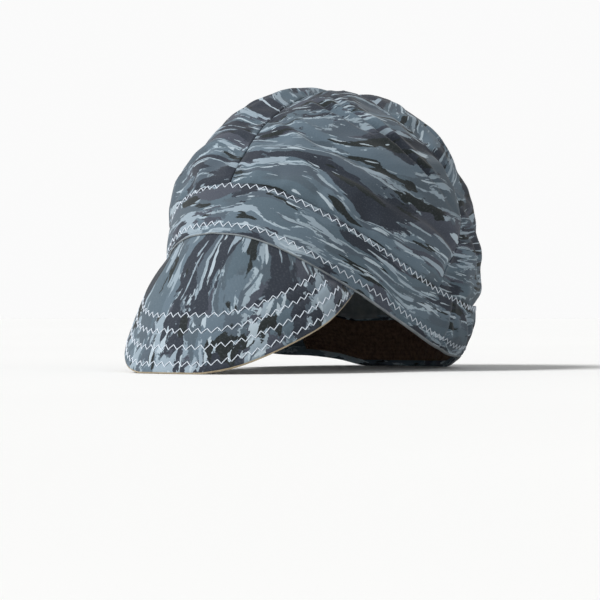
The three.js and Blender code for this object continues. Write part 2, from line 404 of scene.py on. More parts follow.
@dataclass
class ClothForm:
    """The smooth shape that the cap's cloth lies on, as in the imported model."""

    length: float = 213.0
    width: float = 164.0
    height: float = 161.0
    band_width: float = 32.5
    hem_rise: float = 75.6
    peak_reach: float = 41.6
    peak_half_width: float = 64.5
    peak_dome: float = 4.0
    peak_end: float = 53.0
    dent_depth: float = 4.0
    full_puff: float = 3.6
    fold_ridge: float = 0.45
    fold_bow: float = 0.02
    seam_gap: float = 0.3
    middle: tuple[float, float, float] = (0.578, 19.188, 0.0)

    def __post_init__(self) -> None:
        """Measures the profile, and walks up the cloth from the hem all round."""
        scale = np.array([self.height, self.length / 2, self.length / 2, self.length / 2, self.width / 2])
        sections = np.array(SECTIONS) * scale
        reach = (sections[:, 2] - sections[:, 1]) / 2
        inward = (np.diff(reach) ** 2 + np.diff(sections[:, 4]) ** 2) / 2
        strides = np.sqrt(np.diff(sections[:, 0]) ** 2 + inward)
        ways = np.concatenate([[0.0], np.cumsum(strides)])
        self.profile = SmoothTable(ways, sections)
        self.top_way = float(ways[-1])
        self.hem = table_of(HEM)
        self.side_seam = table_of(SIDE_SEAM)
        self.peak_rim = table_of(PEAK_RIM)
        self.way_line = np.linspace(0.0, self.top_way, 4001)
        self.height_line = np.maximum.accumulate(self.profile.read(self.way_line)[:, 0])
        self.stride = 0.5
        self.walks = self.walk_up(np.linspace(-180.0, 180.0, 721), np.arange(0.0, 60.0, self.stride))
        self.fold_lines = [self.fold_line(fold) for fold in FOLDS]

    def point(self, azimuth: Array, way: Array) -> Array:
        """Gives the smooth cloth's points.

        Args:
            azimuth: Degrees from the front, positive towards the wearer's left.
            way: Millimetres up the profile.

        Returns:
            Points in millimetres about the form's own middle.
        """
        azimuth, way = np.broadcast_arrays(azimuth, way)
        values = self.profile.read(np.clip(way, 0.0, self.top_way))
        along = np.cos(np.radians(azimuth))
        aside = np.sin(np.radians(azimuth))
        end = np.where(along > 0, values[..., 1], values[..., 2])
        y = values[..., 3] - np.abs(end - values[..., 3]) * along
        return np.stack([values[..., 4] * aside, y, values[..., 0]], -1)

    def normal(self, azimuth: Array, way: Array) -> Array:
        """Gives the smooth cloth's outward normals.

        Args:
            azimuth: Degrees from the front.
            way: Millimetres up the profile.

        Returns:
            Normals of length one.
        """
        ahead, behind = 0.8, 1.0
        way = np.minimum(way, self.top_way - ahead)
        across = self.point(azimuth + 1.0, way) - self.point(azimuth - 1.0, way)
        up = self.point(azimuth, way + ahead) - self.point(azimuth, np.maximum(way - behind, 0.0))
        return unit(np.cross(across, up))

    def hem_way(self, azimuth: Array) -> Array:
        """Finds the hem.

        Args:
            azimuth: Degrees from the front.

        Returns:
            The way up the profile at which the hem lies.
        """
        folded = np.abs(turn_from(np.asarray(azimuth)))
        height = self.hem_rise * np.maximum(self.hem.read(folded)[..., 0], 0.0)
        return np.interp(height, self.height_line, self.way_line)

    def walk_up(self, azimuths: Array, distances: Array) -> Array:
        """Walks up the cloth from the hem.

        Args:
            azimuths: Where to walk.
            distances: How far to walk, in millimetres along the cloth.

        Returns:
            The ways up the profile, one row for each azimuth.
        """
        strides = np.arange(0.0, 110.0, self.stride)
        ways = np.minimum(self.hem_way(azimuths)[:, None] + strides[None], self.top_way)
        points = self.point(azimuths[:, None], ways)
        steps = np.linalg.norm(np.diff(points, axis=1), axis=-1)
        walked = np.concatenate([np.zeros((len(azimuths), 1)), np.cumsum(steps, axis=1)], axis=1)
        return np.stack([np.interp(distances, walked[row], ways[row]) for row in range(len(azimuths))])

    def way_above_hem(self, azimuth: Array, distance: Array) -> Array:
        """Reads the way up the profile that lies a distance above the hem.

        Args:
            azimuth: Degrees from the front.
            distance: Millimetres up the cloth from the hem.

        Returns:
            Millimetres up the profile.
        """
        azimuth, distance = np.broadcast_arrays(np.asarray(azimuth, float), np.asarray(distance, float))
        turn = (azimuth + 180.0) % 360.0 * 2.0
        column = np.clip(turn.astype(int), 0, 719)
        step = np.clip(distance / self.stride, 0.0, self.walks.shape[1] - 1.001)
        row = step.astype(int)
        x = turn - column
        y = step - row
        near = self.walks[column, row] * (1 - y) + self.walks[column, row + 1] * y
        far = self.walks[column + 1, row] * (1 - y) + self.walks[column + 1, row + 1] * y
        return near * (1 - x) + far * x

    def dents(self, azimuth: Array, height: Array) -> Array:
        """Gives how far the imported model's dents draw the cloth in.

        Args:
            azimuth: Degrees from the front.
            height: Millimetres above the form's foot.

        Returns:
            Millimetres inwards.
        """
        depth = np.zeros(np.broadcast(azimuth, height).shape)
        for dent in DENTS:
            turn = turn_from(azimuth, dent.azimuth)
            rise = height / self.height - dent.height - dent.slant * turn
            away = (turn / dent.wide) ** 2 + (rise / dent.tall) ** 2
            depth = depth + self.dent_depth * dent.depth * np.exp(-away)
        return depth

    def fold_line(self, fold: Fold) -> Array:
        """Lays a fold's middle line on the smooth cloth, bowed a little upwards.

        Args:
            fold: The fold.

        Returns:
            Points along the line.
        """
        share = np.linspace(0.0, 1.0, 9)
        azimuth = fold.start_azimuth + (fold.end_azimuth - fold.start_azimuth) * share
        height = fold.start_height + (fold.end_height - fold.start_height) * share
        bow = self.fold_bow * np.sin(np.pi * share)
        way = np.interp((height + bow) * self.height, self.height_line, self.way_line)
        return self.point(azimuth, way)

    def folds(self, points: Array) -> Array:
        """Gives how far the soft folds move the cloth out along its normal.

        Args:
            points: Points of the smooth cloth.

        Returns:
            Millimetres, negative where the cloth is drawn in.
        """
        lift = np.zeros(points.shape[:-1])
        for fold, line in zip(FOLDS, self.fold_lines):
            near = np.full(points.shape[:-1], np.inf)
            place = np.zeros(points.shape[:-1])
            for index in range(len(line) - 1):
                start = line[index]
                span = line[index + 1] - start
                share = np.clip((points - start) @ span / (span @ span), 0.0, 1.0)
                away = np.linalg.norm(points - start - share[..., None] * span, axis=-1)
                closer = away < near
                near = np.where(closer, away, near)
                place = np.where(closer, (index + share) / (len(line) - 1), place)
            lift += fold.lift(place, near, self.fold_ridge)
        return lift

    def placed(self, azimuth: Array, way: Array, out: Array) -> Array:
        """Gives points off the dented cloth, in the cap's own frame.

        Args:
            azimuth: Degrees from the front.
            way: Millimetres up the profile.
            out: Millimetres out along the normal, negative for inwards.

        Returns:
            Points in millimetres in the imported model's frame.
        """
        azimuth, way = np.broadcast_arrays(np.asarray(azimuth, float), np.asarray(way, float))
        point = self.point(azimuth, way)
        fade = np.minimum(way / self.band_width, 1.0)
        lift = out - self.dents(azimuth, point[..., 2]) * fade
        return point + self.normal(azimuth, way) * np.asarray(lift)[..., None] + np.array(self.middle)

    def seam_azimuth(self, seam: Seam, up: Array) -> Array:
        """Follows a seam up the crown.

        Args:
            seam: The seam.
            up: From 0 at the band to 1 at the apex.

        Returns:
            The seam's azimuths in degrees.
        """
        side = self.side_seam.read(up)[..., 0]
        return {
            Seam.FRONT: side * 0.0,
            Seam.LEFT: side,
            Seam.RIGHT: -side,
            Seam.BACK: side * 0.0 + 180.0,
            Seam.BACK_FROM_RIGHT: side * 0.0 - 180.0,
        }[seam]

    def rim_point(self, across: Array) -> Array:
        """Gives the peak's rim.

        Args:
            across: From -1 at the wearer's right to 1 at the left.

        Returns:
            Points in millimetres about the form's own middle.
        """
        corner = self.point(self.peak_end, self.hem_way(self.peak_end))
        tip = self.point(0.0, self.hem_way(0.0))[1] - self.peak_reach
        values = self.peak_rim.read(np.abs(across))
        x = np.sign(across) * self.peak_half_width * values[..., 0]
        y = corner[1] + (tip - corner[1]) * values[..., 1]
        return np.stack([x, y, corner[2] * np.maximum(values[..., 2], 0.0)], -1)

    def peak_point(self, across: Array, out: Array) -> Array:
        """Gives the peak's upper face between the hem and the rim.

        Args:
            across: From -1 at the wearer's right to 1 at the left.
            out: From 0 at the hem to 1 at the rim.

        Returns:
            Points in millimetres about the form's own middle.
        """
        across, out = np.broadcast_arrays(np.asarray(across, float), np.asarray(out, float))
        azimuth = self.peak_end * across
        way = self.hem_way(azimuth)
        point = self.point(azimuth, way)
        normal = self.normal(azimuth, way)
        fade = np.minimum(way / self.band_width, 1.0)
        root = point - normal * (self.dents(azimuth, point[..., 2]) * fade)[..., None]
        rim = self.rim_point(across)
        root = root + unit(rim - root) * self.seam_gap
        arch = np.sin(np.pi * out) * np.sqrt(np.cos(np.pi / 2 * np.minimum(np.abs(across), 0.99)))
        flat = root + (rim - root) * out[..., None]
        return flat + normal * (self.peak_dome * arch)[..., None]

    def peak_normal(self, across: Array, out: Array) -> Array:
        """Gives the outward normals of the peak's upper face.

        Args:
            across: From -1 at the wearer's right to 1 at the left.
            out: From 0 at the hem to 1 at the rim.

        Returns:
            Normals of length one.
        """
        step = 0.004
        aside = self.peak_point(across + step, out) - self.peak_point(across - step, out)
        inward = self.peak_point(across, out - step) - self.peak_point(across, out + step)
        return unit(np.cross(aside, inward))


def grid_faces(rows: int, columns: int, start: int, ring: bool, flip: bool) -> Array:
    """Lists the quads of a grid of points.

    Args:
        rows: Rows of points.
        columns: Points in a row.
        start: Index of the grid's first point.
        ring: Whether the last column joins the first.
        flip: Whether the faces look the other way.

    Returns:
        Quads of point indices.
    """
    row = np.arange(rows - 1)[:, None] * columns
    left = np.arange(columns if ring else columns - 1)[None]
    right = (left + 1) % columns
    corners = [row + left, row + right, row + columns + right, row + columns + left]
    if flip:
        corners.reverse()
    return np.stack(corners, -1).reshape(-1, 4) + start


def wall_faces(rows: int, columns: int, ring: bool) -> Array:
    """Lists the quads of a closed cloth wall, whose points are an outer grid, then an inner one.

    Args:
        rows: Rows of points in one grid.
        columns: Points in a row.
        ring: Whether the last column joins the first.

    Returns:
        Quads of point indices: the outside, the inside, then the edges.
    """
    inner = rows * columns
    quads = [grid_faces(rows, columns, 0, ring, False), grid_faces(rows, columns, inner, ring, True)]
    left = np.arange(columns if ring else columns - 1)
    right = (left + 1) % columns
    last = (rows - 1) * columns
    quads.append(np.stack([inner + left, inner + right, right, left], -1))
    quads.append(np.stack([last + left, last + right, inner + last + right, inner + last + left], -1))
    if not ring:
        low = np.arange(rows - 1) * columns
        high = low + columns
        end = columns - 1
        quads.append(np.stack([inner + low, low, high, inner + high], -1))
        quads.append(np.stack([low + end, inner + low + end, inner + high + end, high + end], -1))
    return np.concatenate(quads)


def build_piece(
    name: str, points: Array, faces: Array, uv: Array, finishes: list[Material], marks: Array | None = None
) -> Piece:
    """Makes one smooth mesh object from points in millimetres.

    Args:
        name: The piece's name.
        points: Points in millimetres.
        faces: Quads of point indices.
        uv: Cloth coordinates of each point, in millimetres.
        finishes: Materials of the piece's slots.
        marks: Material slot of each face, where there is more than one.

    Returns:
        The object, linked to the scene.
    """
    mesh = bpy.data.meshes.new(name)
    mesh.from_pydata((points.reshape(-1, 3) * MM).tolist(), [], faces.tolist())
    layer = mesh.uv_layers.new(name=CLOTH_UV)
    corners = np.empty(len(mesh.loops), int)
    mesh.loops.foreach_get("vertex_index", corners)
    layer.data.foreach_set("uv", (uv.reshape(-1, 2)[corners] / UV_UNIT).astype(np.float32).ravel())
    for finish in finishes:
        mesh.materials.append(finish)
    if marks is not None:
        mesh.polygons.foreach_set("material_index", marks.astype(np.int32))
    mesh.polygons.foreach_set("use_smooth", np.ones(len(mesh.polygons), bool))
    mesh.update()
    piece = bpy.data.objects.new(name, mesh)
    bpy.context.scene.collection.objects.link(piece)
    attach(piece, "root")
    return piece


def stand_for(piece: Piece, node: str) -> Piece:
    """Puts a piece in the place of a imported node.

    Args:
        piece: The piece.
        node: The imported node's name.

    Returns:
        The same piece.
    """
    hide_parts(node)
    return piece


def linear(code: str) -> tuple[float, float, float, float]:
    """Turns a display colour into the linear colour of a shader.

    Args:
        code: Six hexadecimal digits.

    Returns:
        Red, green, blue and an alpha of one.
    """
    shares = [int(code[index : index + 2], 16) / 255 for index in (0, 2, 4)]
    mixed = [share / 12.92 if share <= 0.04045 else ((share + 0.055) / 1.055) ** 2.4 for share in shares]
    return (mixed[0], mixed[1], mixed[2], 1.0)


class Grain(NamedTuple):
    """One layer of noise on a cloth: where it starts, how tight it is each way and how rough."""

    place: tuple[float, float, float]
    along: float
    across: float
    detail: float = 2.0
    roughness: float = 0.5
    turn: float = 0.0


class NodeSheet:
    """Lays out and joins the nodes of one material."""

    def __init__(self, name: str) -> None:
        """Starts a material with an empty node tree.

        Args:
            name: The material's name.
        """
        self.material = bpy.data.materials.new(name)
        self.material.use_nodes = True
        self.tree = self.material.node_tree
        self.tree.nodes.clear()

    def add(self, kind: str, inputs: dict, **settings: object) -> bpy.types.Node:
        """Adds one node.

        Args:
            kind: Blender's name of the node type.
            inputs: Values or sockets, by input name or number.
            **settings: The node's own settings.

        Returns:
            The node.
        """
        node = self.tree.nodes.new(kind)
        for key, value in settings.items():
            setattr(node, key, value)
        for key, value in inputs.items():
            if isinstance(value, Socket):
                self.tree.links.new(value, node.inputs[key])
            else:
                node.inputs[key].default_value = value
        return node

    def math(self, operation: str, first: object, second: object = 0.0) -> Socket:
        """Adds a Math node and gives its result."""
        return self.add("ShaderNodeMath", {0: first, 1: second}, operation=operation).outputs[0]

    def vector(self, operation: str, first: object, second: object) -> Socket:
        """Adds a Vector Math node and gives its result."""
        return self.add("ShaderNodeVectorMath", {0: first, 1: second}, operation=operation).outputs[0]

    def cloth(self) -> Socket:
        """Gives the cloth's own coordinates, in hundreds of millimetres."""
        return self.add("ShaderNodeUVMap", {}, uv_map=CLOTH_UV).outputs["UV"]

    def mapped(self, vector: object, place: tuple, turn: float, scale: tuple) -> Socket:
        """Moves, turns and scales coordinates.

        Args:
            vector: The coordinates' socket.
            place: How far they move.
            turn: Degrees that they turn about the cloth's normal.
            scale: How they scale.

        Returns:
            The new coordinates.
        """
        rotation = (0.0, 0.0, math.radians(turn))
        inputs = {"Vector": vector, "Location": place, "Rotation": rotation, "Scale": scale}
        return self.add("ShaderNodeMapping", inputs).outputs[0]

    def noise(self, vector: object, scale: float, detail: float, roughness: float = 0.5) -> bpy.types.Node:
        """Adds a noise texture."""
        inputs = {"Vector": vector, "Scale": scale, "Detail": detail, "Roughness": roughness}
        return self.add("ShaderNodeTexNoise", inputs)

    def grain(self, vector: object, grain: Grain) -> bpy.types.Node:
        """Adds a layer of noise on moved, turned and scaled coordinates."""
        laid = self.mapped(vector, grain.place, grain.turn, (grain.along, grain.across, 1.0))
        return self.noise(laid, 1.0, grain.detail, grain.roughness)

    def bands(self, vector: object, turn: float, scale: float, distortion: float) -> Socket:
        """Adds slanting bands, such as a twill's ribs or a thread's twist.

        Args:
            vector: The coordinates' socket.
            turn: Degrees that the bands slant.
            scale: The wave texture's scale.
            distortion: How uneven the bands are.

        Returns:
            The bands' brightness.
        """
        laid = self.mapped(vector, (0.0, 0.0, 0.0), turn, (1.0, 1.0, 1.0))
        inputs = {"Vector": laid, "Scale": scale, "Distortion": distortion}
        wave = self.add("ShaderNodeTexWave", inputs, wave_type="BANDS", bands_direction="X")
        return wave.outputs["Color"]

    def step(self, value: object, low: float, high: float) -> Socket:
        """Turns a value into a mask that rises between two thresholds."""
        inputs = {"Value": value, "From Min": low, "From Max": high}
        return self.add("ShaderNodeMapRange", inputs).outputs[0]

    def mix(self, share: object, first: object, second: object) -> Socket:
        """Mixes two colours, or their sockets, by the share of the second."""
        return self.add("ShaderNodeMix", {0: share, 6: first, 7: second}, data_type="RGBA").outputs[2]

    def bump(self, height: object, strength: float, distance: float, below: object = None) -> Socket:
        """Adds a bump.

        Args:
            height: The bump's socket.
            strength: How much of it shows.
            distance: Its full height in metres.
            below: The bump that it lies on, where there is one.

        Returns:
            The bumped normal.
        """
        inputs = {"Height": height, "Strength": strength, "Distance": distance}
        if below is not None:
            inputs["Normal"] = below
        return self.add("ShaderNodeBump", inputs).outputs[0]

    def finish(self, inputs: dict) -> Material:
        """Closes the material with one Principled shader.

        Args:
            inputs: Values or sockets, by input name.

        Returns:
            The material.
        """
        shader = self.add("ShaderNodeBsdfPrincipled", inputs)
        self.add("ShaderNodeOutputMaterial", {"Surface": shader.outputs[0]})
        return self.material


class Streak(NamedTuple):
    """One layer of brush-like streaks of a printed cloth, sizes in millimetres."""

    colour: str
    length: float
    width: float
    slant: float
    threshold: float
    drag: float
    place: tuple[float, float, float]
    outline: str = ""


@dataclass(frozen=True)
class PrintedTwill:
    """Cotton twill with layers of long wavy brush strokes in slate and grey."""

    name: str
    ground: str = "4c5963"
    second_ground: str = "52626d"
    place: tuple[float, float] = (0.0, 0.0)
    stretch: float = 1.0
    wave: float = 17.0
    tear: float = 0.17
    outline_width: float = 1.1
    pale_shift: float = 0.0
    dark_shift: float = 0.0
    pale: tuple[str, ...] = ("8c9ba6", "a6b4bd")
    dark: tuple[str, ...] = ("434853", "2c323c")
    streaks: tuple[Streak, ...] = (
        Streak("434853", 62.0, 15.5, 5.0, 0.545, 7.0, (3.1, 7.7, 0.4), "80909b"),
        Streak("5b6b77", 50.0, 12.5, -5.0, 0.550, 8.0, (9.3, 1.2, 2.6), "9babb5"),
        Streak("2c323c", 68.0, 17.0, 4.0, 0.530, 6.0, (5.7, 3.9, 5.1)),
        Streak("4c5863", 38.0, 8.0, 9.0, 0.595, 9.0, (7.1, 6.3, 14.1), "8d9ca6"),
        Streak("8c9ba6", 30.0, 6.0, -4.0, 0.630, 11.0, (1.4, 8.8, 7.3)),
        Streak("1f2526", 30.0, 5.5, 8.0, 0.640, 6.0, (8.8, 4.1, 3.3)),
        Streak("a6b4bd", 18.0, 2.8, 2.0, 0.665, 8.0, (2.9, 2.3, 11.8)),
    )
    edge_softness: float = 0.005
    worn_between: tuple[float, float] = (0.39, 0.43)
    speck_between: tuple[float, float] = (0.5, 4.5)
    speck_colour: str = "a6b0b6"
    bend: Grain = Grain((4.0, 9.0, 1.0), 1.7, 2.6)
    bristle: Grain = Grain((0.0, 0.0, 3.0), 4.5, 52.0, 2.0, 0.6)
    scrap: Grain = Grain((7.0, 1.0, 6.0), 17.0, 34.0, 3.0, 0.65)
    tone: Grain = Grain((2.0, 5.0, 8.0), 2.0, 7.0)
    speck: Grain = Grain((0.0, 0.0, 0.0), 140.0, 140.0)
    crumple: Grain = Grain((1.0, 2.0, 3.0), 6.0, 11.0, 3.0, 0.5, 20.0)
    shine: Grain = Grain((0.0, 0.0, 5.0), 20.0, 20.0)
    rib_pitch: float = 1.24
    rib_slant: float = 62.0
    roughness: float = 0.88
    roughness_swing: float = 0.05

    def flow(self, sheet: NodeSheet, cloth: Socket) -> Socket:
        """Bends the cloth's coordinates so that the streaks run in waves.

        Args:
            sheet: The material's nodes.
            cloth: The cloth's coordinates.

        Returns:
            The bent coordinates.
        """
        laid = sheet.mapped(cloth, (*self.place, 0.0), 0.0, (1.0 / self.stretch, 1.0, 1.0))
        centred = sheet.vector("SUBTRACT", sheet.grain(laid, self.bend).outputs["Color"], (0.5, 0.5, 0.5))
        swing = (0.5 * self.wave / UV_UNIT, 1.6 * self.wave / UV_UNIT, 0.0)
        return sheet.vector("ADD", laid, sheet.vector("MULTIPLY", centred, swing))

    def shape(self, sheet: NodeSheet, pulled: object, streak: Streak, torn: object, lift: float) -> Socket:
        """Masks one layer of streaks.

        Args:
            sheet: The material's nodes.
            pulled: Coordinates, dragged along the strokes.
            streak: The layer.
            torn: Fine noise that tears the edges.
            lift: How far the layer is moved across the strokes, in millimetres.

        Returns:
            The mask.
        """
        x, y, z = streak.place
        place = (x, y + lift / streak.width, z)
        size = (UV_UNIT / streak.length, UV_UNIT / streak.width)
        noise = sheet.grain(pulled, Grain(place, *size, 2.0, 0.45, streak.slant))
        level = sheet.math("ADD", noise.outputs[0], torn)
        threshold = streak.threshold
        threshold -= self.pale_shift if streak.colour in self.pale else 0.0
        threshold -= self.dark_shift if streak.colour in self.dark else 0.0
        return sheet.step(level, threshold - self.edge_softness, threshold + self.edge_softness)

    def build(self) -> Material:
        """Builds the printed cloth.

        Returns:
            The material.
        """
        sheet = NodeSheet(self.name)
        cloth = sheet.cloth()
        flow = self.flow(sheet, cloth)
        bristle = sheet.grain(flow, self.bristle).outputs[0]
        bristled = sheet.math("SUBTRACT", bristle, 0.5)
        scrap = sheet.grain(flow, self.scrap).outputs[0]
        torn = sheet.math("MULTIPLY", sheet.math("SUBTRACT", scrap, 0.5), self.tear)
        tone = sheet.step(sheet.grain(flow, self.tone).outputs[0], 0.485, 0.515)
        colour = sheet.mix(tone, linear(self.ground), linear(self.second_ground))
        for streak in self.streaks:
            dragged = sheet.math("MULTIPLY", bristled, 2.0 * streak.drag / UV_UNIT)
            along = sheet.add("ShaderNodeCombineXYZ", {"X": dragged}).outputs[0]
            pulled = sheet.vector("ADD", flow, along)
            mask = self.shape(sheet, pulled, streak, torn, 0.0)
            colour = sheet.mix(mask, colour, linear(streak.colour))
            if streak.outline:
                above = self.shape(sheet, pulled, streak, torn, self.outline_width)
                rim = sheet.math("MULTIPLY", mask, sheet.math("SUBTRACT", 1.0, above))
                worn = sheet.math("MULTIPLY", rim, sheet.step(bristle, *self.worn_between))
                colour = sheet.mix(worn, colour, linear(streak.outline))
        speck = sheet.step(sheet.grain(cloth, self.speck).outputs[0], *self.speck_between)
        return self.close(sheet, cloth, sheet.mix(speck, colour, linear(self.speck_colour)))

    def close(self, sheet: NodeSheet, cloth: Socket, colour: Socket) -> Material:
        """Adds the weave, its sheen and the shader.

        Args:
            sheet: The material's nodes.
            cloth: The cloth's coordinates.
            colour: The printed colour.

        Returns:
            The material.
        """
        twill = sheet.bands(cloth, self.rib_slant, math.tau * UV_UNIT / (WAVE_TURN * self.rib_pitch), 0.4)
        low = sheet.bump(sheet.grain(cloth, self.crumple).outputs[0], 0.4, 0.0008)
        weave = sheet.bump(twill, 0.4, 0.00006, low)
        shine = sheet.grain(cloth, self.shine).outputs[0]
        swing = self.roughness_swing
        span = {"Value": shine, "To Min": self.roughness - swing, "To Max": self.roughness + swing}
        dull = sheet.add("ShaderNodeMapRange", span)
        return sheet.finish(
            {
                "Base Color": colour,
                "Roughness": dull.outputs[0],
                "Normal": weave,
                "Specular IOR Level": 0.25,
                "Sheen Weight": 0.12,
                "Sheen Roughness": 0.5,
            }
        )


@dataclass(frozen=True)
class PlainCloth:
    """A mottled cloth without a print."""

    name: str
    light: str
    dark: str
    pitch: float = 0.9
    mottle: float = 5.0
    patch_between: tuple[float, float] = (0.36, 0.64)
    yarn_between: tuple[float, float] = (0.3, 1.2)
    roughness: float = 0.92

    def build(self) -> Material:
        """Builds the plain cloth.

        Returns:
            The material.
        """
        sheet = NodeSheet(self.name)
        cloth = sheet.cloth()
        patch = sheet.noise(cloth, UV_UNIT / self.mottle, 4.0, 0.65).outputs[0]
        yarn = sheet.noise(cloth, UV_UNIT / self.pitch, 2.0, 0.6).outputs[0]
        colour = sheet.mix(sheet.step(patch, *self.patch_between), linear(self.dark), linear(self.light))
        colour = sheet.mix(sheet.step(yarn, *self.yarn_between), colour, linear(self.light))
        low = sheet.bump(patch, 0.4, 0.0006)
        fine = sheet.bump(yarn, 0.6, 0.00015, low)
        return sheet.finish(
            {
                "Base Color": colour,
                "Roughness": self.roughness,
                "Normal": fine,
                "Specular IOR Level": 0.2,
                "Sheen Weight": 0.1,
                "Sheen Roughness": 0.5,
            }
        )


@dataclass(frozen=True)
class SewingThread:
    """A pale twisted thread."""

    name: str = "pale_thread"
    light: str = "e6edf5"
    dark: str = "cdd8e4"

    def build(self) -> Material:
        """Builds the thread's finish.

        Returns:
            The material.
        """
        sheet = NodeSheet(self.name)
        ply = sheet.bands(sheet.cloth(), 40.0, 60.0, 0.5)
        return sheet.finish(
            {
                "Base Color": sheet.mix(ply, linear(self.dark), linear(self.light)),
                "Roughness": 0.6,
                "Normal": sheet.bump(ply, 0.5, 0.0001),
                "Specular IOR Level": 0.35,
                "Sheen Weight": 0.1,
            }
        )


@dataclass(frozen=True)
class StudioPaper:
    """The pale seamless paper that the cap rests on."""

    name: str = "studio_paper"
    pale: str = "fbfbfa"
    shade: str = "f6f6f5"

    def build(self) -> Material:
        """Builds the paper.

        Returns:
            The material.
        """
        sheet = NodeSheet(self.name)
        place = sheet.add("ShaderNodeTexCoord", {}).outputs["Object"]
        cloud = sheet.noise(place, 2.0, 2.0)
        colour = sheet.mix(cloud.outputs[0], linear(self.shade), linear(self.pale))
        return sheet.finish({"Base Color": colour, "Roughness": 0.85, "Specular IOR Level": 0.2})


@dataclass(frozen=True)
class Finishes:
    """Every material of the cap and its stage."""

    crown: Material
    band: Material
    peak: Material
    quilted: Material
    reverse: Material
    lining: Material
    edge: Material
    elastic: Material
    thread: Material
    paper: Material

    @classmethod
    def mixed(cls) -> "Finishes":
        """Builds the materials.

        Returns:
            The finishes.
        """
        quilt = {"place": (11.0, 5.0), "stretch": 0.48, "wave": 9.0, "tear": 0.24, "pale_shift": 0.03}
        return cls(
            # Crown, band and peak are one printed cloth: the extra dark streaks on the crown and the peak
            # are painted shade, and the fewer dark and extra pale streaks on the band are painted light.
            crown=PrintedTwill("crown_twill", dark_shift=0.014).build(),
            band=PrintedTwill("band_twill", dark_shift=-0.012, pale_shift=0.008).build(),
            peak=PrintedTwill("peak_twill", place=(2.0, 1.0), dark_shift=0.016).build(),
            quilted=PrintedTwill("quilted_twill", **quilt).build(),
            reverse=PlainCloth("reverse_cloth", "8b9194", "6f767b").build(),
            lining=PlainCloth("peak_lining", "8d8775", "5f5a4b", 1.1, 6.0).build(),
            edge=PlainCloth("rim_edge", "b3a58c", "8e8067", 0.8, 8.0).build(),
            # The elastic's dark browns are painted shade: the inside of the cap at the nape lies in shadow.
            elastic=PlainCloth("dark_elastic", "6a5445", "40312a", 0.7, 3.0).build(),
            thread=SewingThread().build(),
            paper=StudioPaper().build(),
        )


def spread(count: int, length: float, edge: tuple[float, ...]) -> Array:
    """Places grid lines over a length, with given finer lines near both ends.

    Args:
        count: Lines between the finer ones.
        length: The length.
        edge: Distances of the finer lines from each end.

    Returns:
        The lines' places, from 0 to the length.
    """
    near = np.array(edge)
    middle = np.linspace(edge[-1], length - edge[-1], count)
    return np.concatenate([near[:-1], middle, (length - near[:-1])[::-1]])


def rolled(distance: Array, radius: float) -> Array:
    """Gives how far a rounded edge has dropped at a distance from its end."""
    left = np.clip(1.0 - distance / radius, 0.0, 1.0)
    return radius * (1.0 - np.sqrt(1.0 - left**2))


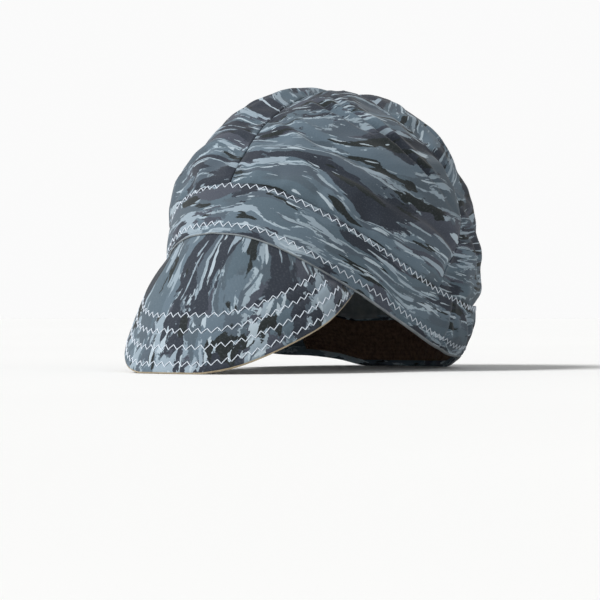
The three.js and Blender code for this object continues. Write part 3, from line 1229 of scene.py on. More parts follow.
@dataclass
class SewnDrape:
    """How the sewn crown buckles between its seams, from a cloth simulation."""

    form: ClothForm
    columns: int = 176
    rows: int = 52
    frames: int = 36
    seam_hold: float = 0.9
    apex_gap: float = 1.5
    slack: float = 0.045
    pressure: float = 0.12
    bending: float = 1.4
    scale: float = 10.0
    cap_out: float = 3.2
    strength: float = 1.1

    def __post_init__(self) -> None:
        self.panel_columns = self.columns // 4
        self.lift = np.zeros((self.rows, self.columns))
        self.lift = self.simulate()

    def start(self) -> tuple[Array, Array]:
        """Lays the smooth puffed crown out as one ring of cloth.

        Returns:
            Points and outward normals in millimetres.
        """
        form = self.form
        up = np.linspace(0.0, 1.0, self.rows)[:, None]
        share = (np.arange(self.columns) % self.panel_columns) / self.panel_columns
        azimuth = []
        puff = []
        for cut in sorted(PANELS):
            part = share[cut.quarter * self.panel_columns : (cut.quarter + 1) * self.panel_columns][None]
            begin = form.seam_azimuth(cut.start, up)
            azimuth.append(begin + (form.seam_azimuth(cut.end, up) - begin) * part)
            puff.append(np.full(self.panel_columns, form.full_puff * cut.puff))
        azimuth = np.concatenate(azimuth, axis=1)
        foot = form.way_above_hem(azimuth, form.band_width)
        way = foot + (form.top_way - self.apex_gap - foot) * up
        pillow = (np.sin(np.pi * share)[None] * np.sin(np.pi * up)).clip(0.0) ** 0.6
        return form.placed(azimuth, way, np.concatenate(puff) * pillow), form.normal(azimuth, way)

    def pins(self) -> Array:
        """Holds the cloth by the band, the apex and the seams.

        Returns:
            How firmly each point is held, from 0 to 1.
        """
        held = np.zeros((self.rows, self.columns))
        held[:, :: self.panel_columns] = self.seam_hold
        held[0] = 1.0
        held[-1] = 1.0
        return held.ravel()

    def simulate(self) -> Array:
        """Lets slack cloth buckle between the held lines.

        Returns:
            Millimetres out along the normals, without the broad swelling.
        """
        points, normals = self.start()
        faces = grid_faces(self.rows, self.columns, 0, True, False)
        mesh = bpy.data.meshes.new("crown_drape")
        mesh.from_pydata((points.reshape(-1, 3) * MM * self.scale).tolist(), [], faces.tolist())
        cloth = bpy.data.objects.new("crown_drape", mesh)
        bpy.context.scene.collection.objects.link(cloth)
        group = cloth.vertex_groups.new(name="held")
        for index, weight in enumerate(self.pins()):
            if weight > 0:
                group.add([index], float(weight), "REPLACE")
        modifier = cloth.modifiers.new("buckling", "CLOTH")
        settings = modifier.settings
        settings.vertex_group_mass = "held"
        settings.quality = 6
        settings.mass = 0.15
        settings.air_damping = 2.0
        settings.tension_stiffness = 25.0
        settings.compression_stiffness = 25.0
        settings.shear_stiffness = 8.0
        settings.bending_stiffness = self.bending
        settings.shrink_min = -self.slack
        settings.shrink_max = -self.slack
        settings.effector_weights.gravity = 0.02
        settings.use_pressure = True
        settings.uniform_pressure_force = self.pressure
        modifier.collision_settings.use_collision = False
        modifier.point_cache.frame_end = self.frames
        for frame in range(1, self.frames + 1):
            bpy.context.scene.frame_set(frame)
        shaped = cloth.evaluated_get(bpy.context.evaluated_depsgraph_get()).to_mesh()
        places = np.empty(len(shaped.vertices) * 3)
        shaped.vertices.foreach_get("co", places)
        bpy.context.scene.frame_set(1)
        bpy.data.objects.remove(cloth)
        bpy.data.meshes.remove(mesh)
        places = places.reshape(self.rows, self.columns, 3) / self.scale / MM
        lift = ((places - points) * normals).sum(axis=-1)
        lift = (lift - self.broad(lift)) * self.strength
        return self.cap_out * np.tanh(lift / self.cap_out)

    def broad(self, lift: Array) -> Array:
        """Averages the lift over some 30 mm each way.

        Args:
            lift: Millimetres out along the normals.

        Returns:
            The broad part of the lift.
        """
        across, up = 4, 3
        soft = lift
        for _ in range(3):
            sides = [np.roll(soft, step, axis=1) for step in range(-across, across + 1)]
            soft = sum(sides) / len(sides)
            padded = np.pad(soft, ((up, up), (0, 0)), mode="edge")
            soft = sum(padded[step : step + self.rows] for step in range(2 * up + 1)) / (2 * up + 1)
        return soft

    def read(self, quarter: int, across: Array, up: Array) -> Array:
        """Reads the lift on one panel along a smooth spline surface.

        Args:
            quarter: Which panel, counted from the front towards the wearer's left.
            across: From 0 at the panel's first seam to 1 at its last.
            up: From 0 at the band to 1 at the apex.

        Returns:
            Millimetres out along the normal.
        """
        column = (quarter + across) * self.panel_columns
        row = np.clip(up, 0.0, 1.0) * (self.rows - 1)
        left = np.floor(column).astype(int)
        low = np.floor(row).astype(int)
        x = column - left
        y = row - low
        total = np.zeros(np.broadcast(column, row).shape)
        for step, share in zip((-1, 0, 1, 2), spline_shares(y)):
            line = np.clip(low + step, 0, self.rows - 1)
            for stride, part in zip((-1, 0, 1, 2), spline_shares(x)):
                total += share * part * self.lift[line, (left + stride) % self.columns]
        return total


def spline_shares(t: Array) -> tuple[Array, Array, Array, Array]:
    """Gives the weights of a smooth cubic spline.

    Args:
        t: Shares of a cell, from 0 to 1.

    Returns:
        The weights of the four nearest grid lines.
    """
    rest = 1.0 - t
    first = rest**3 / 6.0
    second = (3.0 * t**3 - 6.0 * t**2 + 4.0) / 6.0
    third = (3.0 * rest**3 - 6.0 * rest**2 + 4.0) / 6.0
    return first, second, third, t**3 / 6.0


@dataclass
class CrownPanel:
    """One crown panel between two seams, its foot tucked under the band."""

    form: ClothForm
    drape: SewnDrape
    cut: PanelCut
    columns: int = 104
    rows: int = 116
    cloth: float = 1.1
    tuck: float = 2.4
    roll: float = 0.6
    seam_dip: float = 0.32
    seam_dip_width: float = 2.2
    spill: float = 0.7
    settle: float = 0.65
    settle_height: float = 3.5
    apex_fade: float = 22.0
    soft: Wrinkle = Wrinkle(1.1, 38.0, 12.0, (3.0, 5.0), 60.0, -60.0)
    fine: Wrinkle = Wrinkle(0.4, 17.0, 5.6, (11.0, 2.0), -30.0, 40.0)
    fold_gain: float = 1.45
    pucker: Wrinkle = Wrinkle(0.45, 4.5, math.inf, (7.0, 3.5))
    pucker_reach: float = 7.0
    gather: Wrinkle = Wrinkle(1.0, 5.5, math.inf, (1.0, 9.5))
    gather_reach: float = 8.0
    radius: float = 85.0
    mm_per_degree: float = 1.45

    def surface(self, across: Array, up: Array) -> tuple[Array, Array, Array]:
        """Gives the panel's outer face with every fold.

        Args:
            across: From 0 at the first seam to 1 at the last.
            up: From 0 at the band's edge to 1 at the apex, below 0 under the band.

        Returns:
            Azimuths, ways up the profile and offsets along the normal.
        """
        form = self.form
        held = np.clip(up, 0.0, 1.0)
        first = form.seam_azimuth(self.cut.start, held)
        last = form.seam_azimuth(self.cut.end, held)
        rough = first + (last - first) * across
        edge = form.band_width + form.seam_gap
        foot = form.way_above_hem(rough, edge)
        tucked = form.way_above_hem(rough, edge + np.minimum(up, 0.0) * 100.0)
        way = np.where(up < 0, tucked, foot + (form.top_way - 0.05 - foot) * held)
        radius = np.maximum(form.profile.read(way)[..., 4], 0.4)
        inset = np.degrees(np.minimum(0.05 / radius, 0.02))
        azimuth = first + inset + (last - first - 2 * inset) * across
        width = np.radians(last - first) * radius
        from_seam = np.minimum(across, 1 - across) * width
        above = (way - foot) * (up >= 0)
        pillow = (np.sin(np.pi * across) * np.sin(np.pi * held)).clip(0.0) ** 0.6
        wrinkles = self.wrinkles(azimuth, way, from_seam, above)
        wrinkles = wrinkles + self.drape.read(self.cut.quarter, across, held) * ease(from_seam / 2.5)
        settle = self.settle * (1.0 - ease(above / self.settle_height))
        apex = ease((form.top_way - way) / self.apex_fade)
        back = 0.25 + 0.75 * ease((np.abs(turn_from(azimuth)) - 50.0) / 50.0)
        spill = self.spill * back * np.exp(-(((above - 8.0) / 5.0) ** 2))
        dip = self.seam_dip * np.exp(-((from_seam / self.seam_dip_width) ** 2)) * apex
        out = form.full_puff * self.cut.puff * pillow + wrinkles * apex - settle + spill
        out = out - rolled(from_seam, self.roll) - dip
        return azimuth, way, out

    def wrinkles(self, azimuth: Array, way: Array, from_seam: Array, above: Array) -> Array:
        """Gives the folds, the soft creases and the seams' puckers.

        Args:
            azimuth: Degrees from the front.
            way: Millimetres up the profile.
            from_seam: Millimetres from the nearer seam.
            above: Millimetres above the band's edge.

        Returns:
            Millimetres out along the normal.
        """
        form = self.form
        noise = ClothNoise(self.cut.seed)
        u = np.radians(azimuth) * self.radius
        small = self.soft.lift(noise, u, way) + self.fine.lift(noise, u, way)
        base = self.fold_gain * form.folds(form.point(azimuth, way))
        pucker = self.pucker.lift(noise, way, u) * np.exp(-from_seam / self.pucker_reach)
        back = ease((np.abs(turn_from(azimuth)) - 60.0) / 50.0)
        gather = self.gather.lift(noise, u, way) * (0.35 + 0.55 * back) * np.exp(-above / self.gather_reach)
        clear = ease(from_seam / 5.0) * ease(above / 5.0)
        return (small + base) * clear + pucker + gather + self.pockets(azimuth, above)

    def pockets(self, azimuth: Array, above: Array) -> Array:
        """Gives the hollows and lobes where the gathered cloth meets the band.

        Args:
            azimuth: Degrees from the front.
            above: Millimetres above the band's edge.

        Returns:
            Millimetres out along the normal.
        """
        lift = np.zeros(azimuth.shape)
        for pocket in POCKETS:
            aside = turn_from(azimuth, pocket.azimuth) * self.mm_per_degree / pocket.wide
            rise = (above - pocket.above) / pocket.tall
            lift = lift - pocket.depth * np.exp(-(aside**2) - rise**2) * ease(above / 2.5)
        return lift

    def laid_flat(self, azimuth: Array, way: Array) -> Array:
        """Lays the panel flat, as it was cut: along the band below, around the apex above.

        Args:
            azimuth: Degrees from the front, one row for each height.
            way: Millimetres up the profile.

        Returns:
            The places on the flat cloth.
        """
        form = self.form
        foot = form.way_above_hem(azimuth, form.band_width)
        middle = (azimuth[:, :1] + azimuth[:, -1:]) / 2
        middle_foot = form.way_above_hem(middle, form.band_width)
        radius = form.profile.read(way)[..., 4]
        to_apex = np.maximum(form.top_way - way, 0.05)
        arc = np.radians(azimuth - middle) * radius
        turn = np.clip(arc / to_apex, -1.2, 1.2)
        share = ease((way - foot) / 75.0)
        u = arc * (1 - share) + to_apex * np.sin(turn) * share
        below = way - foot
        above = form.top_way - middle_foot - to_apex * np.cos(turn)
        v = below * (1 - share) + above * share
        return np.stack([u + self.cut.print_place[0], v + self.cut.print_place[1]], -1)

    def build(self, outer: Material, inner: Material) -> Piece:
        """Builds the panel as a closed wall of cloth.

        Args:
            outer: Finish of the outside.
            inner: Finish of the inside.

        Returns:
            The panel.
        """
        form = self.form
        edge = (0.0, 0.0012, 0.004, 0.010)
        across = spread(self.columns, 1.0, edge)[None]
        low = np.array([-self.tuck, -self.tuck / 2, 0.0, 0.3, 0.8]) / 100.0
        up = np.concatenate([low, np.linspace(0.016, 1.0, self.rows)])[:, None]
        azimuth, way, out = self.surface(across, up)
        outside = form.placed(azimuth, way, out)
        thinned = 0.55 * rolled(np.minimum(across, 1 - across) * 100.0, 1.0)
        inside = form.placed(azimuth, way, out - self.cloth + thinned)
        uv = self.laid_flat(azimuth, way)
        rows, columns = azimuth.shape
        faces = wall_faces(rows, columns, False)
        marks = np.zeros(len(faces), int)
        marks[(rows - 1) * (columns - 1) : 2 * (rows - 1) * (columns - 1)] = 1
        name = self.cut.name
        points = np.stack([outside, inside])
        piece = build_piece(name + "_cloth", points, faces, np.stack([uv, uv]), [outer, inner], marks)
        return stand_for(piece, name)


@dataclass
class Crown:
    """The four sewn panels of the crown."""

    form: ClothForm
    finishes: Finishes

    def build(self) -> list[Piece]:
        """Builds the panels.

        Returns:
            The panels.
        """
        drape = SewnDrape(self.form)
        panels = [CrownPanel(self.form, drape, cut) for cut in PANELS]
        return [panel.build(self.finishes.crown, self.finishes.reverse) for panel in panels]


@dataclass
class Headband:
    """The band of even width, with a folded hem and a lip over the crown's foot."""

    form: ClothForm
    finishes: Finishes
    columns: int = 720
    wall: float = 2.4
    lip: float = 0.2
    slot_depth: float = 3.0
    peak_slot: float = 2.3
    peak_slot_end: float = 56.0
    stitch_rows: tuple[float, float] = (6.2, 31.0)
    print_place: tuple[float, float] = (60.0, 700.0)
    print_radius: float = 92.0
    radius: float = 90.0
    join: float = 88.5
    edge_line: float = 1.6
    hem_edge: float = 0.98
    fold_ridge: float = 0.5
    soft: Wrinkle = Wrinkle(0.55, 30.0, 16.0, (2.0, 4.0), slant=90.0)
    gather: Wrinkle = Wrinkle(1.5, 5.0, 26.0, (5.0, 8.0), 60.0)
    furrow: StitchFurrow = StitchFurrow(0.42, 2.4, 0.22, 3.2)

    def creases(self, azimuth: Array, above: Array) -> Array:
        """Gives the band's slanting folds.

        Args:
            azimuth: Degrees from the front.
            above: Millimetres above the hem.

        Returns:
            Millimetres out along the normal.
        """
        lift = np.zeros(np.broadcast(azimuth, above).shape)
        for fold in BAND_FOLDS:
            aside = np.radians(turn_from(azimuth, fold.start_azimuth)) * self.radius
            rise = above - fold.start_height
            run = math.radians(fold.end_azimuth - fold.start_azimuth) * self.radius
            climb = fold.end_height - fold.start_height
            share = np.clip((aside * run + rise * climb) / (run**2 + climb**2), 0.0, 1.0)
            off = np.hypot(aside - share * run, rise - share * climb)
            lift = lift + fold.lift(share, off, self.fold_ridge)
        return lift

    def relief(self, azimuth: Array, above: Array) -> Array:
        """Gives the band's folds, its quilting by the stitches and its gathers.

        Args:
            azimuth: Degrees from the front.
            above: Millimetres above the hem.

        Returns:
            Millimetres out along the normal.
        """
        noise = ClothNoise(53)
        past = (azimuth - self.join) % 360.0
        u = np.radians(past) * self.radius
        back = ease((np.abs(turn_from(azimuth)) - 96.0) / 30.0)
        small = self.soft.lift(noise, u, above) + back * self.gather.lift(noise, u, above)
        middle = np.sin(np.pi * np.clip(above / self.form.band_width, 0.0, 1.0))
        lift = (small + self.creases(azimuth, above)) * middle**0.5
        join = np.minimum(past, 360.0 - past) * 1.6
        lift = lift - 0.6 * np.exp(-((join / 0.9) ** 2)) + 0.25 * np.exp(-(((join - 2.6) / 1.6) ** 2))
        lift = lift - 0.4 * np.exp(-(((above - self.edge_line) / 0.5) ** 2))
        for row in self.stitch_rows:
            lift = lift + self.furrow.lift(noise, u, above - row, row)
        return lift

    def offset(self, azimuth: Array, above: Array, out: Array) -> Array:
        """Gives points of the band, its normals levelled at the hem.

        Args:
            azimuth: Degrees from the front.
            above: Millimetres above the hem.
            out: Millimetres out from the smooth cloth.

        Returns:
            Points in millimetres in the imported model's frame.
        """
        form = self.form
        azimuth, above, out = np.broadcast_arrays(azimuth, above, out)
        way = form.way_above_hem(azimuth, above)
        base = form.placed(azimuth, way, 0.0)
        normal = form.normal(azimuth, way)
        level = (1.0 - ease(above / 5.0))[..., None]
        return base + unit(normal * (1 - level) + levelled(normal) * level) * out[..., None]

    def face_out(self, azimuth: Array, above: Array) -> Array:
        """Gives how far out the band's face lies, with the lip over the crown's foot."""
        return self.relief(azimuth, above) + self.lip * ease((above - 24.0) / 8.0)

    def outside(self, azimuth: Array, above: Array) -> Array:
        """Gives the outer face of the band, for its stitches."""
        return self.offset(azimuth, above, self.face_out(azimuth, above))

    def section(self, azimuth: Array) -> tuple[Array, Array]:
        """Goes once round the band's section: up the face, over the top, down inside and round the hem.

        A slot in the top holds the crown's foot, and one in the hem, in front, holds the peak's root.

        Args:
            azimuth: Degrees from the front, in one row.

        Returns:
            Millimetres above the hem and millimetres out, a row for each line round the band.
        """
        top = self.form.band_width
        wall = self.wall
        deep = self.slot_depth
        slot = 0.02 + self.peak_slot * ease((self.peak_slot_end - np.abs(turn_from(azimuth))) / 3.0)
        low = [0.95, 1.25, 1.5, 1.75, 2.0, 2.25, 2.6]
        face = np.concatenate([low, np.linspace(3.2, top - 1.0, 38), [top - 0.4]])[:, None]
        outer = self.face_out(azimuth, face)
        over = ((0.0, -0.12), (0.12, -0.35), (0.0, -0.62), (-1.0, -0.78), (-deep, -0.82))
        back = ((-deep - 0.1, -1.4), (-deep, -1.98), (-1.0, -2.02), (0.0, -2.06), (0.1, 0.1 - wall))
        inside = np.linspace(top - 1.5, 1.4, 14)[:, None]
        lines = [(face, outer)]
        lines += [(top + rise, outer[-1:] + drop) for rise, drop in over]
        lines += [(top + rise, drop) for rise, drop in (*back, (-0.2, -wall))]
        lines += [(inside, 0.5 * self.relief(azimuth, inside) - wall)]
        lines += [(0.5, 0.08 - wall), (0.12, 0.4 - wall), (slot, 0.62 - wall), (slot, 1.4 - wall)]
        lines += [(0.02, -0.72), (0.14, -0.3), (0.55, -0.07)]
        rows = [np.broadcast_arrays(above, out, azimuth)[:2] for above, out in lines]
        return np.concatenate([above for above, _ in rows]), np.concatenate([out for _, out in rows])

    def build(self) -> Piece:
        """Builds the band as one closed ring.

        Returns:
            The band.
        """
        azimuth = (self.join + np.linspace(0.0, 359.94, self.columns))[None]
        above, out = self.section(azimuth)
        points = self.offset(np.broadcast_to(azimuth, above.shape), above, out)
        faces = grid_faces(len(above), self.columns, 0, True, False)
        last = (len(above) - 1) * self.columns
        left = np.arange(self.columns)
        right = (left + 1) % self.columns
        faces = np.concatenate([faces, np.stack([last + left, last + right, right, left], -1)])
        u = np.radians(azimuth - self.join) * self.print_radius + self.print_place[0]
        v = above + self.print_place[1] - out
        uv = np.stack(np.broadcast_arrays(u, v), -1)
        low = above.ravel()[faces].max(axis=1) < self.hem_edge
        outer = out.ravel()[faces].max(axis=1) > -self.wall / 2
        finishes = [self.finishes.band, self.finishes.reverse]
        piece = build_piece("headband_cloth", points, faces, uv, finishes, (low & outer).astype(int))
        return stand_for(piece, "headband")


class PeakFace(NamedTuple):
    """One face of a peak cloth: its depth, how much deeper it lies at the rim, and its place in the band."""

    depth: float
    at_rim: float
    in_band: float


@dataclass
class Peak:
    """The soft peak: printed cloth above, lining below, and a thin rolled edge."""

    form: ClothForm
    band: Headband
    finishes: Finishes
    columns: int = 250
    rows: int = 110
    end_share: float = 0.985
    stitch_rows: tuple[float, ...] = (6.0, 15.6, 25.2, 34.8)
    top_cloth: float = 1.15
    whole_cloth: float = 2.6
    edge_radius: float = 0.85
    edge_columns: int = 320
    root_drop: float = 0.85
    tuck: tuple[float, ...] = (2.0, 1.3, 0.6)
    slot_top: float = -0.80
    slot_middle: float = -1.25
    slot_bottom: float = -1.70
    radius: float = 95.0
    print_half_width: float = 55.0
    print_pull: float = 0.6
    rim_stop: float = 0.75
    rim_calm: float = 12.0
    band_calm: float = 8.0
    soft: Wrinkle = Wrinkle(0.5, 26.0, 22.0, (3.0, 6.0))
    fine: Wrinkle = Wrinkle(0.16, 7.0, 5.0, (1.0, 2.0))
    furrow: StitchFurrow = StitchFurrow(0.45, 2.2, 0.16, 3.3)

    def __post_init__(self) -> None:
        """Measures how long the peak is from the hem to the rim, all along it."""
        self.across_line = np.linspace(-1.0, 1.0, 401)
        out = np.linspace(0.0, 1.0, 41)
        points = self.form.peak_point(self.across_line[:, None], out[None])
        steps = np.linalg.norm(np.diff(points, axis=1), axis=-1)
        self.length_line = steps.sum(axis=1)

    def length(self, across: Array) -> Array:
        """Gives the peak's length from the hem to the rim."""
        return np.interp(across, self.across_line, self.length_line)

    def relief(self, across: Array, out: Array) -> Array:
        """Gives the quilting between the stitch rows and the soft creases.

        Args:
            across: From -1 at the wearer's right to 1 at the left.
            out: From 0 at the hem to 1 at the rim.

        Returns:
            Millimetres out along the normal.
        """
        noise = ClothNoise(71)
        across, out = np.broadcast_arrays(across, out)
        from_rim = (1.0 - out) * self.length(across)
        u = across * self.radius
        lift = self.soft.lift(noise, u, from_rim) + self.fine.lift(noise, u, from_rim)
        lift = lift * ease(from_rim / self.rim_calm) * ease(out * self.length(across) / self.band_calm)
        for row in self.stitch_rows:
            lift = lift + self.furrow.lift(noise, u, from_rim - row, row)
        return lift

    def upper(self, across: Array, out: Array) -> Array:
        """Gives the upper face with its relief.

        Args:
            across: From -1 at the wearer's right to 1 at the left.
            out: From 0 at the hem to 1 at the rim.

        Returns:
            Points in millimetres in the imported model's frame.
        """
        across, out = np.broadcast_arrays(across, out)
        root = self.root_drop * (1.0 - ease(out * self.length(across) / 6.0))
        lift = self.relief(across, out) - root
        base = self.form.peak_point(across, out)
        return base + self.form.peak_normal(across, out) * lift[..., None] + np.array(self.form.middle)

    def layer(self, across: Array, out: Array, depth: Array, level: Array) -> Array:
        """Gives points under the upper face.

        Args:
            across: From -1 at the wearer's right to 1 at the left.
            out: From 0 at the hem to 1 at the rim.
            depth: Millimetres below the upper face.
            level: How far the normals are levelled, from 0 to 1.

        Returns:
            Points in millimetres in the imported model's frame.
        """
        across, out = np.broadcast_arrays(across, out)
        normal = self.form.peak_normal(across, out)
        mixed = unit(normal * (1 - level) + levelled(normal) * level)
        return self.upper(across, out) - mixed * depth

    def grid(self) -> tuple[Array, Array]:
        """Gives the places of a peak grid that stops short of the rim.

        Returns:
            Places across and places out, with one row for each line along the band.
        """
        across = np.linspace(-self.end_share, self.end_share, self.columns)[None]
        share = np.concatenate([[0.0, 0.4, 1.0], np.linspace(1.8, 100.0, self.rows)])[:, None] / 100.0
        stop = 1.0 - self.rim_stop / np.maximum(self.length(across), 2.0 * self.rim_stop)
        return tuple(np.broadcast_arrays(across, share * stop))

    def build(self) -> list[Piece]:
        """Builds the printed upper cloth, the lining and the rolled edge.

        Returns:
            The three pieces.
        """
        under = self.top_cloth + 0.1
        top = (PeakFace(0.0, 0.55, self.slot_top), PeakFace(self.top_cloth, 0.0, self.slot_middle))
        lining = (
            PeakFace(under, 0.0, self.slot_middle - 0.04),
            PeakFace(self.whole_cloth, -0.5, self.slot_bottom),
        )
        printed = [self.finishes.peak, self.finishes.quilted]
        return [
            self.build_cloth("peak_top", top, (1700.0, 400.0), printed),
            self.build_cloth("peak_underside", lining, (2100.0, 900.0), [self.finishes.lining]),
            self.build_edge(),
        ]

    def tucked(self, points: Array, out: float) -> Array:
        """Adds the rows of the root that lie inside the band's hem.

        Args:
            points: The rows from the hem to the rim.
            out: Millimetres from the band's outer face to these rows.

        Returns:
            The rows, with the tucked ones first.
        """
        across = np.linspace(-self.end_share, self.end_share, self.columns)[None]
        above = np.array(self.tuck)[:, None]
        hidden = self.band.offset(self.form.peak_end * across, above, np.array([[out]]))
        return np.concatenate([hidden, points])

    def tucked_uv(self, uv: Array) -> Array:
        """Carries the cloth coordinates on to the rows that lie inside the band's hem."""
        above = np.array(self.tuck)[:, None, None] * np.array([1.0, 0.0])
        return np.concatenate([uv[:1] - above, uv])

    def build_cloth(
        self, name: str, sides: tuple[PeakFace, ...], place: tuple[float, float], finishes: list[Material]
    ) -> Piece:
        """Builds one cloth of the peak as a closed wall, whose streaks run from the hem to the rim.

        Args:
            name: The piece's name.
            sides: Its upper and its lower face.
            place: Where it lies on the print.
            finishes: Its finish, and the finish between the stitch rows where that is another.

        Returns:
            The cloth.
        """
        across, out = self.grid()
        from_rim = (1.0 - out) * self.length(across)
        level = ease(1.0 - from_rim / 4.0)[..., None]
        near = ease(1.0 - (from_rim - 0.6) / 1.6)[..., None]
        layers = [self.layer(across, out, side.depth + side.at_rim * near, level) for side in sides]
        points = np.stack([self.tucked(layer, side.in_band) for layer, side in zip(layers, sides)])
        u = out * self.length(across) * self.print_pull + place[0]
        uv = self.tucked_uv(np.stack([u, across * self.print_half_width + place[1]], -1))
        rows, columns = uv.shape[:2]
        faces = wall_faces(rows, columns, False)[:, ::-1]
        from_rim = np.concatenate([from_rim[:1]] * len(self.tuck) + [from_rim])
        near_rim = np.concatenate([from_rim.ravel()] * 2)[faces].mean(axis=1)
        marks = (near_rim < self.stitch_rows[-1]) & (len(finishes) > 1)
        piece = build_piece(name, points, faces, np.stack([uv, uv]), finishes, marks.astype(int))
        return stand_for(piece, "peak")

    def build_edge(self) -> Piece:
        """Builds the rolled edge along the rim.

        Returns:
            The edge.
        """
        across = np.linspace(-self.end_share, self.end_share, self.edge_columns)
        stop = 1.0 - self.edge_radius / np.maximum(self.length(across), 2.0)
        centre = self.layer(across, stop, self.whole_cloth / 2, np.ones((self.edge_columns, 1)))
        centre[:, 2] = np.maximum(centre[:, 2], self.edge_radius + 0.03)
        points, faces, uv = ThreadTube(self.edge_radius, 10).along(centre)
        piece = build_piece("peak_edge", points, faces, uv, [self.finishes.edge])
        return stand_for(piece, "peak")


@dataclass
class ThreadTube:
    """A round tube swept along points, with closed ends."""

    radius: float
    sides: int

    def along(self, path: Array) -> tuple[Array, Array, Array]:
        """Sweeps the tube.

        Args:
            path: The middle line's points.

        Returns:
            Points, quads and cloth coordinates.
        """
        heading = unit(np.gradient(path, axis=0))
        aside = unit(np.cross(heading, np.array([0.0, 0.0, 1.0]) + heading * 1e-3))
        over = np.cross(aside, heading)
        angle = np.linspace(0.0, 2.0 * np.pi, self.sides, endpoint=False)
        radii = np.full(len(path), self.radius)
        radii[0] *= 0.05
        radii[-1] *= 0.05
        ring = np.cos(angle)[None, :, None] * aside[:, None] + np.sin(angle)[None, :, None] * over[:, None]
        points = path[:, None] + ring * radii[:, None, None]
        faces = grid_faces(len(path), self.sides, 0, True, False)
        uv = np.stack(np.broadcast_arrays(walked_along(path)[:, None], angle[None] * self.radius), -1)
        return points.reshape(-1, 3), faces, uv.reshape(-1, 2)


@dataclass
class ZigzagRow:
    """One row of zigzag stitches on a cloth face."""

    name: str
    face: Surface
    leg: float = 2.75
    half_width: float = 1.5
    radius: float = 0.245
    samples: int = 6
    sides: int = 6
    sink: float = 0.12
    loft: float = 0.42
    jitter: float = 0.12

    def build(self, along: Array, middle: Array, per_mm: Array, finish: Material, slot: Slot) -> Piece:
        """Sews the row.

        Args:
            along: The face's first coordinate along the row, closely spaced.
            middle: The face's second coordinate on the row's middle line.
            per_mm: How much the second coordinate changes in a millimetre.
            finish: The thread's finish.
            slot: The record's slot; not used.

        Returns:
            The row of stitches.
        """
        line = self.face(along, middle)
        walked = walked_along(line)
        count = int(walked[-1] / self.leg)
        corners = np.linspace(0.0, walked[-1], count + 1)
        share = np.linspace(0.0, 1.0, self.samples, endpoint=False)
        places = (corners[:-1, None] + np.diff(corners)[:, None] * share[None]).ravel()
        swing = np.tile(share, count) * 2.0 - 1.0
        sign = np.repeat(np.where(np.arange(count) % 2 == 0, 1.0, -1.0), self.samples)
        jitter = ClothNoise(97).read(places / 4.1, places * 0.0 + 0.5) * self.jitter
        aside = (swing * sign + jitter) * self.half_width
        first = np.interp(places, walked, along)
        second = np.interp(places, walked, middle) + aside * np.interp(places, walked, per_mm)
        base = self.face(first, second)
        step = 1e-3 * (along[-1] - along[0])
        ahead = self.face(first + step, second) - self.face(first - step, second)
        rise = self.face(first, second + 0.05 * np.interp(places, walked, per_mm)) - base
        normal = unit(np.cross(ahead, rise))
        arc = np.sin(np.pi * np.tile(share, count)) ** 0.5
        path = base + normal * (-self.sink + self.loft * arc)[:, None]
        points, faces, uv = ThreadTube(self.radius, self.sides).along(path)
        piece = build_piece(self.name, points, faces, uv, [finish])
        return piece


@dataclass
class Stitching:
    """Every row of pale zigzag stitches on the cap."""

    band: Headband
    peak: Peak
    finishes: Finishes
    rim_clearance: float = 2.5

    def build(self) -> list[Piece]:
        """Sews the band's two rows and the peak's four.

        Returns:
            The rows.
        """
        rows = []
        thread = self.finishes.thread
        azimuth = np.linspace(-180.0, 180.0, 2400)
        ones = np.ones_like(azimuth)
        for name, above in zip(("zigzag_hem", "zigzag_band_top"), self.band.stitch_rows):
            row = ZigzagRow(name, self.band.outside)
            rows.append(row.build(azimuth, above * ones, ones, thread, Slot.BAND))
        reach = np.linspace(-self.peak.end_share, self.peak.end_share, 1600)
        for number, from_rim in enumerate(self.peak.stitch_rows, 1):
            kept = reach[self.peak.length(reach) > from_rim + self.rim_clearance]
            length = self.peak.length(kept)
            row = ZigzagRow(f"zigzag_peak_{number}", self.peak.upper)
            rows.append(row.build(kept, 1.0 - from_rim / length, -1.0 / length, thread, Slot.PEAK))
        return rows


@dataclass
class NapeElastic:
    """The ribbed elastic strip inside the band at the nape; its dark brown is painted shade of the cap's
    shadowed inside.
    """

    form: ClothForm
    finishes: Finishes
    width: float = 26.0
    cloth: float = 1.3
    set_back: float = 3.0
    half_arc: float = 60.0
    depth: float = 2.9
    radius: float = 95.0
    rib_depth: float = 0.16
    rib_pitch: float = 2.6
    gather: Wrinkle = Wrinkle(0.30, 2.6, 30.0, (0.0, 4.0))

    def build(self) -> Piece:
        """Builds the strip as a closed wall.

        Returns:
            The strip.
        """
        form = self.form
        noise = ClothNoise(61)
        azimuth = np.linspace(180.0 - self.half_arc, 180.0 + self.half_arc, 300)[None]
        above = np.linspace(self.set_back, self.set_back + self.width, 54)[:, None]
        way = form.way_above_hem(azimuth, above)
        rib = self.rib_depth * np.cos(2.0 * np.pi * (above - self.set_back) / self.rib_pitch)
        u = np.radians(azimuth) * self.radius
        gather = self.gather.lift(noise, u, above)
        outside = form.placed(azimuth, way, -self.depth)
        inside = form.placed(azimuth, way, -self.depth - self.cloth - rib - gather)
        points = np.stack([outside, inside])
        uv = np.stack(np.broadcast_arrays(u, above), -1)
        faces = wall_faces(*uv.shape[:2], False)
        piece = build_piece("nape_painted_shade_ribs", points, faces, np.stack([uv, uv]), [self.finishes.elastic])
        return stand_for(piece, "nape_elastic")


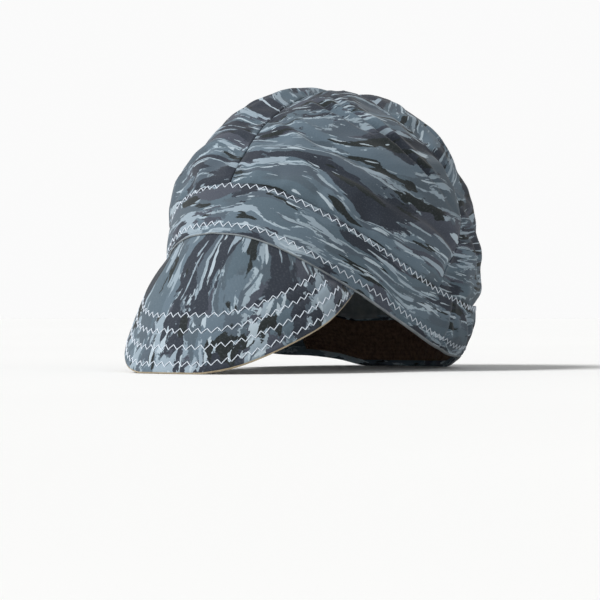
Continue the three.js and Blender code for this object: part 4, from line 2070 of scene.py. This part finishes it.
@dataclass
class Studio:
    """The pale floor, the lights and the camera."""

    finishes: Finishes
    azimuth: float = 35.0
    distance: float = 1.3
    camera_height: float = 0.030
    aim_height: float = 0.040
    picture_width: float = 600.0
    pixels_per_mm: float = 1.74
    sensor: float = 36.0
    floor_radius: float = 60.0
    floor_sides: int = 96
    sun_strength: float = 2.95
    sun_softness: float = 18.0
    sun_from: tuple[float, float, float] = (-0.36, -0.64, 0.76)
    sky_strength: float = 0.34
    horizon_strength: float = 0.96
    horizon_low: float = 0.16
    horizon_high: float = 0.28

    def build_floor(self) -> Piece:
        """Builds the wide floor.

        Returns:
            The floor.
        """
        radius = np.array([0.01, 0.2, 0.6, 1.2, 2.4, 5.0, 10.0, 25.0, self.floor_radius])
        angle = np.linspace(0.0, 2.0 * np.pi, self.floor_sides, endpoint=False)
        x = radius[:, None] * np.cos(angle)[None]
        y = radius[:, None] * np.sin(angle)[None]
        points = np.stack([x, y, 0.0 * x], -1).reshape(-1, 3)
        faces = grid_faces(len(radius), self.floor_sides, 0, True, True).tolist()
        faces.append(list(range(self.floor_sides)))
        mesh = bpy.data.meshes.new("studio_floor")
        mesh.from_pydata(points.tolist(), [], faces)
        mesh.polygons.foreach_set("use_smooth", np.ones(len(mesh.polygons), bool))
        mesh.materials.append(self.finishes.paper)
        floor = bpy.data.objects.new("studio_floor", mesh)
        bpy.context.scene.collection.objects.link(floor)
        return floor

    def build_lights(self) -> None:
        """Hangs the soft sun and sets the studio's air, which is brighter near the horizon."""
        data = bpy.data.lights.new("window_light", "SUN")
        data.energy = self.sun_strength
        data.angle = math.radians(self.sun_softness)
        lamp = bpy.data.objects.new("window_light", data)
        lamp.rotation_euler = (-Vector(self.sun_from)).to_track_quat("-Z", "Y").to_euler()
        bpy.context.scene.collection.objects.link(lamp)
        world = bpy.data.worlds.new("studio_air")
        world.use_nodes = True
        tree = world.node_tree
        background = tree.nodes["Background"]
        place = tree.nodes.new("ShaderNodeTexCoord")
        split = tree.nodes.new("ShaderNodeSeparateXYZ")
        rise = tree.nodes.new("ShaderNodeMapRange")
        rise.inputs["From Min"].default_value = self.horizon_low
        rise.inputs["From Max"].default_value = self.horizon_high
        rise.inputs["To Min"].default_value = self.horizon_strength
        rise.inputs["To Max"].default_value = self.sky_strength
        tree.links.new(place.outputs["Generated"], split.inputs[0])
        tree.links.new(split.outputs["Z"], rise.inputs["Value"])
        tree.links.new(rise.outputs[0], background.inputs[1])
        background.inputs[0].default_value = (1.0, 1.0, 1.0, 1.0)
        bpy.context.scene.world = world

    def build_camera(self) -> None:
        """Sets the camera low in front of the cap, towards the wearer's left."""
        data = bpy.data.cameras.new("studio_camera")
        data.sensor_width = self.sensor
        seen = self.picture_width / self.pixels_per_mm * MM
        data.lens = self.sensor * self.distance / seen
        camera = bpy.data.objects.new("studio_camera", data)
        turn = math.radians(self.azimuth)
        x = math.sin(turn) * self.distance
        place = Vector((x, -math.cos(turn) * self.distance, self.camera_height))
        camera.location = place
        aim = Vector((0.0, 0.0, self.aim_height)) - place
        camera.rotation_euler = aim.to_track_quat("-Z", "Y").to_euler()
        bpy.context.scene.collection.objects.link(camera)
        bpy.context.scene.camera = camera

    def build(self) -> None:
        """Builds the camera, the floor and the lights."""
        self.build_camera()
        self.build_floor()
        self.build_lights()
        bpy.context.scene.view_settings.view_transform = "Standard"


def main() -> None:
    """Builds the cap's pieces in order and keeps their size."""
    logging.basicConfig(level=logging.INFO, format="%(message)s")
    form = ClothForm()
    finishes = Finishes.mixed()
    Studio(finishes).build()
    band = Headband(form, finishes)
    peak = Peak(form, band, finishes)
    pieces = Crown(form, finishes).build()
    pieces.append(band.build())
    pieces.extend(peak.build())
    pieces.append(NapeElastic(form, finishes).build())
    pieces.extend(Stitching(band, peak, finishes).build())
    for piece in pieces:
        LOG.info("%s: %d faces", piece.name, len(piece.data.polygons))


if __name__ == "__main__":
    main()
